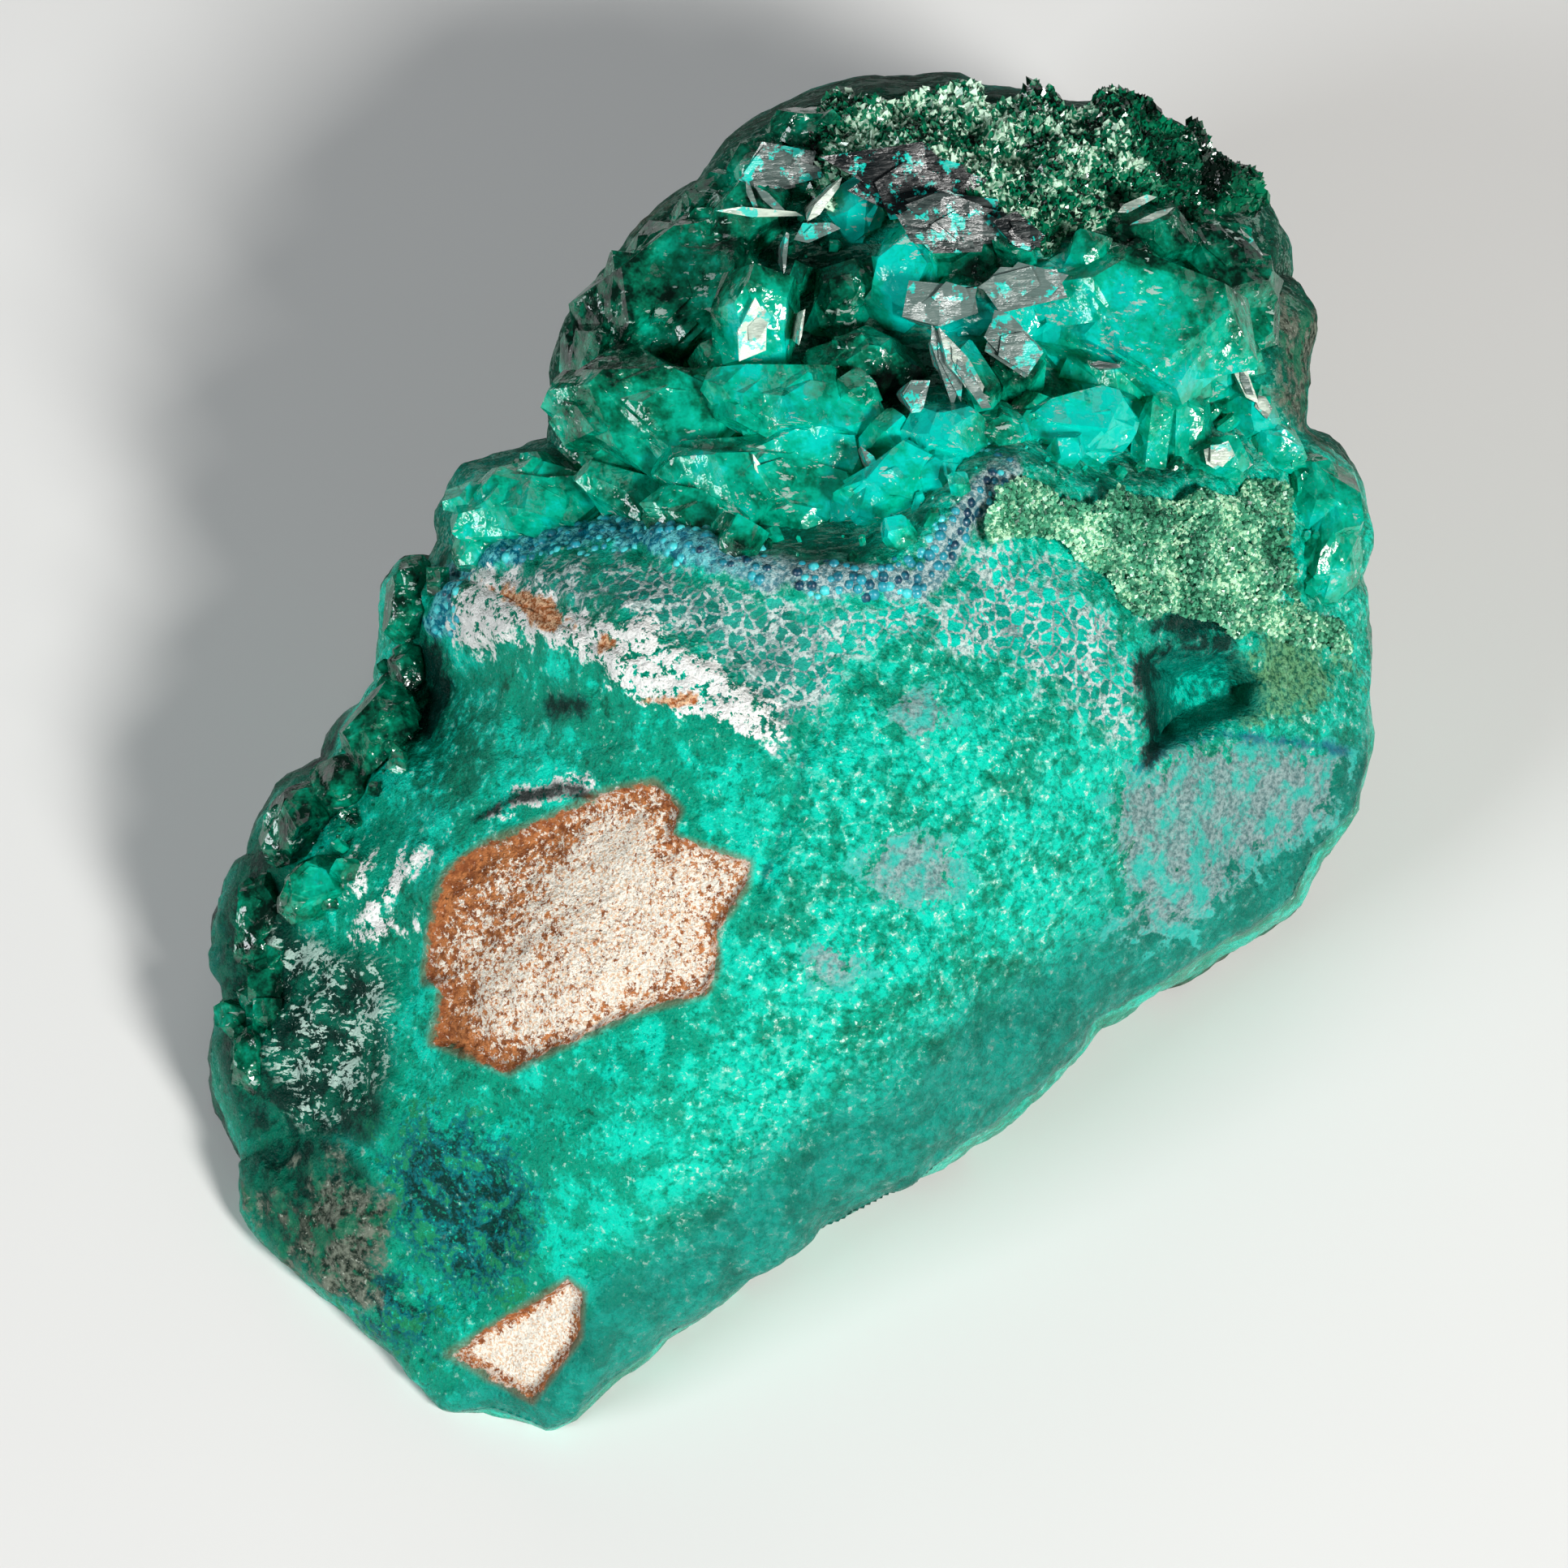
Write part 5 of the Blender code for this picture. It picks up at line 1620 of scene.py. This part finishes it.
    def dress(self, finish: bpy.types.Material) -> None:
        """Fuse the large crystals into one skin, set the small ones apart, and dress both.

        Args:
            finish: the crystals' material.
        """
        large = self.bodies().fused(f"{self.name}_crystals")
        self.store_glow(large)
        add_piece(large, finish, "dioptase", self.node)
        add_piece(self.scattered().build(f"{self.name}_druse"), finish, "dioptase")


def key_gleam(face: DisplayFace) -> np.ndarray:
    """World normal of a face that throws the key light at the viewer: halfway between the two."""
    return unit(unit(np.array(KEY_PLACE)) + face.axes()[2])


def scatter_points(extent: Callable, count: int, random: np.random.Generator) -> np.ndarray:
    """Random layout points inside an extent, whose edge is frayed by noise.

    Args:
        extent: gives the signed distance in from the edge at layout points.
        count: how many points.
        random: where the draws come from.

    Returns:
        The points, one row each.
    """
    draws = 40000 + 30 * count
    points = random.uniform(np.min(OUTLINE, axis=0), np.max(OUTLINE, axis=0), (draws, 2))
    fray = 0.4 * lattice_noise(np.column_stack((points / 0.9, np.zeros(len(points)))), 61)
    return points[extent(points) + fray > 0.1][:count]


def within(outline: tuple) -> Callable:
    """The extent inside one outline."""
    return lambda points: inside_distance(points, outline)


def upland_extent(points: np.ndarray) -> np.ndarray:
    """Distance into the ground above the ridge, off the crown and the bare rims.

    Args:
        points: layout points.

    Returns:
        Millimetres, above zero inside.
    """
    depth = np.minimum(inside_distance(points, UPLAND), inside_distance(points, OUTLINE) - 0.45)
    for outline in (CROWN, RIGHT_HOST, LEFT_HOST):
        depth = np.minimum(depth, -inside_distance(points, outline))
    return depth


def crown_extent(points: np.ndarray) -> np.ndarray:
    """Distance into the crown, spread to the specimen's edge above it.

    Args:
        points: layout points.

    Returns:
        Millimetres, above zero inside.
    """
    edge = inside_distance(points, OUTLINE) - 0.25
    over = np.minimum(edge, np.minimum(points[:, 1] - 17.2, points[:, 0] - 1.2))
    return np.minimum(np.maximum(inside_distance(points, CROWN), over), edge)


@dataclass
class Druse:
    """A coat of tiny crystals over one part of the rock, with painted shade beyond a line if one is given."""

    rock: MatrixRock
    name: str
    node: str
    slot: str
    extent: Callable
    count: int
    radius: float
    lift: float
    slender: float
    seed: int
    shaded_beyond: float = 99.0

    def dress(self, finish: bpy.types.Material) -> None:
        """Stand the tiny crystals on the skin, leaning at random, and dress them.

        Args:
            finish: the coat's material.
        """
        random = np.random.default_rng(self.seed)
        points = scatter_points(self.extent, self.count, random)
        places, normals = self.rock.skin(points)
        count = len(points)
        radii = self.radius * random.uniform(0.5, 1.6, count)
        mounds = self.lift * (0.45 + 0.55 * lattice_noise(places / 1.1, self.seed))
        axes = normals + random.normal(0, 0.5, (count, 3))
        frames = frames_about(axes, random.uniform(0, 2 * math.pi, count))
        halves = radii * random.uniform(0.8, self.slender, count)
        # painted shade: tones darken beyond the line
        tones = random.uniform(0, 1, count) * (1 - 0.8 * smooth_step((points[:, 0] - self.shaded_beyond) / 2.5))
        mesh = GrainSet(places + normals * mounds[:, None], frames, radii, halves, tones).build(self.name)
        add_piece(mesh, finish, self.slot, self.node)


@dataclass
class CleavedPlates:
    """Grey cleaved plates and slender blades that lie on the crystals."""

    rock: MatrixRock
    seed: int = 21
    root: float = 2.6
    sheet: float = 0.07

    def dress(self, finish: bpy.types.Material) -> None:
        """Set each tabled plate on a deep root, step thin sheets over it, and dress them all.

        Args:
            finish: the plates' material.
        """
        random, pile = np.random.default_rng(self.seed), BodyPile()
        face = self.rock.relief.face
        for across, up, long, wide, turn, lift, steps, pale in PLATES:
            root = min(self.root, 0.4 + 0.6 * inside_distance(np.array([(across, up)]), OUTLINE)[0])
            top = self.rock.relief.place_over(across, up, lift)
            for step in range(steps):
                axis = np.array((0.12, -0.04, 1.0)) + random.normal(0, 0.05, 3)
                rows = frames_about((axis @ face.axes())[None], np.zeros(1))[0]
                along = math.radians(turn) + random.normal(0, 0.12)
                flat = math.cos(along) * face.axes()[0] + math.sin(along) * face.axes()[1]
                rows[0] = unit(flat - rows[2] * (flat @ rows[2]))
                rows[1] = np.cross(rows[2], rows[0])
                share = 1.0 if step == 0 else random.uniform(0.5, 0.9)
                thick = root if step == 0 else self.sheet
                shift = random.uniform(-0.35, 0.35, 2) * (long, wide) * (step > 0)
                corners, faces = cleaved_plate((long * share, wide * share), thick, random)
                corners[:, 2] += self.sheet * step - thick / 2
                pile.add(corners @ rows + top + shift @ rows[:2], faces, pale * random.uniform(0.8, 1.15))
        mesh = pile.build("cleaved_plates")
        store(mesh, "glow", np.concatenate(pile.tones))
        add_piece(mesh, finish, "dioptase")


@dataclass
class BeadBand:
    """Rounded grains crowded in a narrow band along the ridge."""

    rock: MatrixRock
    pitch: float = 0.34
    seed: int = 31

    def unit_bead(self) -> tuple[np.ndarray, np.ndarray]:
        """A rough sphere: three rings of seven points between two poles.

        Returns:
            Its corners and its triangles.
        """
        heights = np.cos(np.repeat((0.25, 0.5, 0.75), 7) * math.pi)
        turns, wide = np.tile(np.arange(7) * 2 * math.pi / 7, 3), np.sqrt(1 - heights ** 2)
        rings = np.column_stack((wide * np.cos(turns), wide * np.sin(turns), heights))
        corners = np.vstack(([(0, 0, 1)], rings, [(0, 0, -1)]))
        along, after = np.arange(7), (np.arange(7) + 1) % 7
        faces = [np.column_stack((np.zeros(7, int), 1 + along, 1 + after))]
        for ring in (1, 8):
            faces.append(np.column_stack((ring + along, ring + 7 + along, ring + 7 + after)))
            faces.append(np.column_stack((ring + along, ring + 7 + after, ring + after)))
        faces.append(np.column_stack((15 + along, np.full(7, 22), 15 + after)))
        return corners, np.concatenate(faces)

    def sites(self, random: np.random.Generator) -> np.ndarray:
        """Layout points on a jittered honeycomb, kept near the ridge line and frayed by noise.

        Args:
            random: the draws.

        Returns:
            The kept points.
        """
        low, high = np.min(NAVY_LINE, axis=0) - 1, np.max(NAVY_LINE, axis=0) + 1
        steps = (self.pitch, 0.87 * self.pitch)
        across, up = np.meshgrid(*(np.arange(*row) for row in zip(low, high, steps)))
        across[1::2] += self.pitch / 2
        points = np.column_stack((across.ravel(), up.ravel()))
        points += random.uniform(-0.32, 0.32, points.shape) * self.pitch
        fray = lattice_noise(np.column_stack((points / 0.8, np.zeros(len(points)))), 62)
        return points[0.45 - segment_distance(points, NAVY_LINE) + 0.5 * fray > 0]

    def dress(self, finish: bpy.types.Material) -> None:
        """Sink the grains' middles just under the skin, darkest on the ridge line, and dress them.

        Args:
            finish: the grains' material.
        """
        random = np.random.default_rng(self.seed)
        points = self.sites(random)
        places, normals = self.rock.skin(points)
        corners, faces = self.unit_bead()
        radii = self.pitch * random.uniform(0.42, 0.62, len(points))
        placed = corners * radii[:, None, None] + (places - 0.10 * normals)[:, None]
        triangles = (faces + len(corners) * np.arange(len(points))[:, None, None]).reshape(-1, 3)
        mesh = mesh_from_arrays("ridge_beads", placed.reshape(-1, 3) * MM, triangles, smooth=True)
        shade = 0.6 * segment_distance(points, NAVY_LINE) + random.normal(0.15, 0.25, len(points))
        shade += 0.35 * smooth_step((-1.0 - points[:, 0]) / 4.0)
        store(mesh, "glow", np.repeat(np.clip(shade, 0, 1), len(corners)))
        add_piece(mesh, finish, "matrix")


@dataclass(frozen=True)
class PlateFinish:
    """Grey cleaved faces from near black to silver, with fine ridges and turquoise stains."""

    black: tuple = (0.003, 0.006, 0.007)
    grey: tuple = (0.105, 0.160, 0.145)
    silver: tuple = (0.62, 0.72, 0.60)
    stain: tuple = (0.0, 0.62, 0.52)

    def build(self) -> bpy.types.Material:
        """Each plate's own grey in streaks, stained in patches, over a ridged sheen.

        Returns:
            The finished material.
        """
        material, graph, shader = new_material("grey_cleavage")
        place = graph.millimetres()
        streaks = graph.noise(graph.vector("MULTIPLY", place, (1.2, 5.0, 5.0)), 1.0, 4.0, 0.65)
        patches = graph.noise(place, 1.6, 4.0)
        tone = graph.weighted((graph.attribute("glow"), 1.0), (streaks, 0.6), (-0.30, 1.0))
        # the silver end also paints the highlight of the wide pale plate on the leaning crystal
        color = graph.ramp(tone, self.black, (0.12, 0.80, self.grey), (0.90, 1.30, self.silver))
        color = graph.mix(graph.math("MULTIPLY", graph.step(patches, 0.54, 0.60), 0.9), color, self.stain)
        normal = graph.node("NewGeometry").outputs["Normal"]
        tilted = graph.effect(Effect.GLINTS, place, 2.2, Amount=0.22, Normal=normal).outputs["Normal"]
        bump = graph.bump(streaks, 0.5, 0.10, Normal=tilted)
        rough = graph.between(streaks, 0.14, 0.45)
        graph.finish(shader, Base_Color=color, Roughness=rough, Normal=bump, IOR=1.6)
        return material


@dataclass(frozen=True)
class DioptaseFinish:
    """Clear emerald crystal, painted turquoise where light comes through and near black in painted shade,
    with painted silvery reflections of cleavages.
    """

    # night to turquoise: painted shade through to painted light coming through
    night: tuple = (0.0, 0.022, 0.012)
    emerald: tuple = (0.0, 0.26, 0.135)
    green: tuple = (0.0, 0.72, 0.46)
    turquoise: tuple = (0.0, 1.0, 0.84)
    # silver: painted reflections of tiny cleavage steps
    silver: tuple = (0.70, 0.92, 0.84)
    transmission: float = 0.45
    ior: float = 1.66
    absorption: tuple = (0.0, 0.86, 0.60)
    density: float = 420.0

    def build(self) -> bpy.types.Material:
        """Green body colour over plain transmission, with an absorbing inside.

        Returns:
            The finished material.
        """
        material, graph, shader = new_material("dioptase_crystal")
        place = graph.millimetres()
        cloud, fine = graph.noise(place, 0.75, 4.0), graph.noise(place, 3.6, 2.0)
        # painted light and shade: the stored brightness, with noise
        lit = graph.weighted((graph.attribute("glow"), 1.0), (cloud, 1.8), (fine, 0.6), (-1.04, 1.0))
        stops = ((0.0, 0.40, self.emerald), (0.30, 0.72, self.green), (0.68, 1.02, self.turquoise))
        color = graph.ramp(lit, self.night, *stops)
        # painted reflections: silvery flecks of tiny cleavage steps
        flecks = graph.effect(Effect.FLECKS, place, 4.6, Amount=0.84).outputs["Mask"]
        color = graph.mix(graph.math("MULTIPLY", flecks, 0.85), color, self.silver)
        normal = graph.node("NewGeometry").outputs["Normal"]
        coarse = graph.effect(Effect.GLINTS, place, 1.5, Amount=0.40, Normal=normal).outputs["Normal"]
        tilted = graph.effect(Effect.GLINTS, place, 4.5, Amount=0.30, Normal=coarse).outputs["Normal"]
        bump = graph.bump(fine, 0.35, 0.10, Normal=tilted)
        graph.finish(
            shader, Base_Color=color, Roughness=graph.between(fine, 0.05, 0.26), Normal=bump, IOR=self.ior,
            Specular_IOR_Level=0.28, Transmission_Weight=self.transmission,
        )
        inside = graph.node("VolumeAbsorption", {"Color": opaque(self.absorption), "Density": self.density})
        graph.tree.links.new(inside.outputs[0], graph.tree.nodes["Material Output"].inputs["Volume"])
        return material


@dataclass(frozen=True)
class DruseFinish:
    """Tiny grains or crystals whose colour changes from one to the next and over patches."""

    name: str
    shade: tuple
    body: tuple
    light: tuple
    roughness: float
    patch_scale: float = 0.7
    body_from: float = 0.48
    light_from: float = 0.80

    def build(self) -> bpy.types.Material:
        """Colour by each crystal's own value and patches of noise, from shade through body to light; on the
        crown these give painted shade and painted glints.

        Returns:
            The finished material.
        """
        material, graph, shader = new_material(self.name)
        place = graph.millimetres()
        patches, fine = graph.noise(place, self.patch_scale, 4.0, 0.6), graph.noise(place, 7.0, 2.0)
        value = graph.weighted((graph.attribute("glow"), 0.45), (patches, 1.0))
        color = graph.ramp(value, self.shade, (self.body_from, self.body_from + 0.26, self.body),
                           (self.light_from, self.light_from + 0.16, self.light))
        bump = graph.bump(fine, 0.3, 0.04)
        graph.finish(
            shader, Base_Color=color, Roughness=graph.between(fine, self.roughness, self.roughness + 0.2),
            Normal=bump, IOR=1.6,
        )
        return material


@dataclass(frozen=True)
class Studio:
    """A pale floor, soft light and the camera square on to the display face."""

    face: DisplayFace
    lens: float = 180.0
    floor_side: float = 3.0

    def aim(self, lamp: bpy.types.Object, place: tuple) -> None:
        """Put a lamp at a place and turn it to the specimen."""
        lamp.location = place
        lamp.rotation_euler = (Vector((0, 0, 0.01)) - Vector(place)).to_track_quat("-Z", "Y").to_euler()

    def light(self, name: str, place: tuple, size: float, power: float, color: tuple) -> None:
        """Add one soft box.

        Args:
            name: the lamp's name.
            place: where it hangs, in metres.
            size: its side in metres.
            power: its power in watts.
            color: its colour.
        """
        data = bpy.data.lights.new(name, "AREA")
        data.size, data.energy, data.color = size, power, color
        self.aim(show(name, data), place)

    def build(self) -> None:
        """Set up the floor, lights, background and camera."""
        half = self.floor_side / 2
        corners = np.array(((-half, -half, 0), (half, -half, 0), (half, half, 0), (-half, half, 0)))
        floor = mesh_from_arrays("floor", corners, np.array(((0, 1, 2), (0, 2, 3))), smooth=False)
        material, graph, shader = new_material("pale_floor")
        tone = graph.noise(graph.millimetres(), 0.02, 3.0)
        color = graph.mix(tone, (0.76, 0.76, 0.75), (0.82, 0.82, 0.81))
        graph.finish(shader, Base_Color=color, Roughness=0.85)
        floor.materials.append(material)
        show("floor", floor)
        self.light("key", KEY_PLACE, 0.12, 3.4, (1.0, 0.98, 0.95))
        self.light("fill", (-0.48, -0.32, 0.32), 0.25, 2.6, (0.93, 0.97, 1.0))
        self.light("rim", (0.05, 0.50, 0.30), 0.40, 0.4, (1.0, 1.0, 1.0))
        world = bpy.data.worlds.new("studio")
        world.use_nodes = True
        world.node_tree.nodes["Background"].inputs["Color"].default_value = (0.85, 0.88, 0.90, 1.0)
        world.node_tree.nodes["Background"].inputs["Strength"].default_value = 0.06
        bpy.context.scene.world = world
        bpy.context.scene.view_settings.view_transform = "Standard"

        data = bpy.data.cameras.new("camera")
        data.lens, data.sensor_width = self.lens, 36.0
        data.clip_start, data.clip_end = 0.01, 10.0
        camera = show("camera", data)
        axes = Matrix(self.face.axes().tolist()).transposed()
        spot = self.face.axes()[2] * self.face.taper + np.array((*self.face.shift, self.face.height))
        camera.matrix_world = Matrix.Translation(Vector(spot * MM)) @ axes.to_4x4()
        bpy.context.scene.camera = camera


def main() -> None:
    """Build and dress the specimen, then the studio."""
    logging.basicConfig(level=logging.INFO, format="%(name)s %(message)s")
    face = DisplayFace()
    relief = Relief(face)
    rock = MatrixRock(relief)
    rock.dress()
    dioptase = DioptaseFinish().build()
    clusters = (
        CrystalCluster(rock, "terrace", "dioptase_cluster_terrace", upland_extent, TERRACE_LUMPS, CRYSTALS,
                       small=450, middling=46, middling_radius=0.50, seed=11),
        CrystalCluster(rock, "left_flank", "dioptase_cluster_left", within(LEFT_FLANK), LEFT_LUMPS, (),
                       small=110, middling=12, middling_radius=0.36, seed=12),
        CrystalCluster(rock, "right_rim", "dioptase_cluster_right", within(RIGHT_RIM), RIGHT_LUMPS, (),
                       small=80, middling=8, middling_radius=0.36, seed=13),
    )
    for cluster in clusters:
        cluster.dress(dioptase)
    CleavedPlates(rock).dress(PlateFinish().build())
    beads = DruseFinish("blue_beads", (0.0, 0.035, 0.075), (0.01, 0.31, 0.40), (0.06, 0.66, 0.68), 0.30,
                        patch_scale=1.1, body_from=0.44, light_from=0.70)
    BeadBand(rock).dress(beads.build())
    # the crown's darkest and palest grains paint shade and glints among the tiny crystals
    fine = DruseFinish("fine_green_druse", (0.0, 0.006, 0.003), (0.0, 0.20, 0.09), (0.74, 1.0, 0.80), 0.08,
                       body_from=0.47, light_from=0.76)
    Druse(rock, "crown_druse", "micro_druse_crown", "fine_druse", crown_extent, 16000, 0.10, 0.95, 2.4, 14,
          shaded_beyond=9.6).dress(fine.build())
    pale = DruseFinish("pale_lime_druse", (0.005, 0.09, 0.045), (0.07, 0.40, 0.22), (0.62, 0.95, 0.66), 0.25)
    Druse(rock, "pale_crust", "pale_druse_crust", "pale_druse", within(PALE), 16000, 0.07, 0.75, 1.6,
          15).dress(pale.build())
    Studio(face).build()


if __name__ == "__main__":
    main()
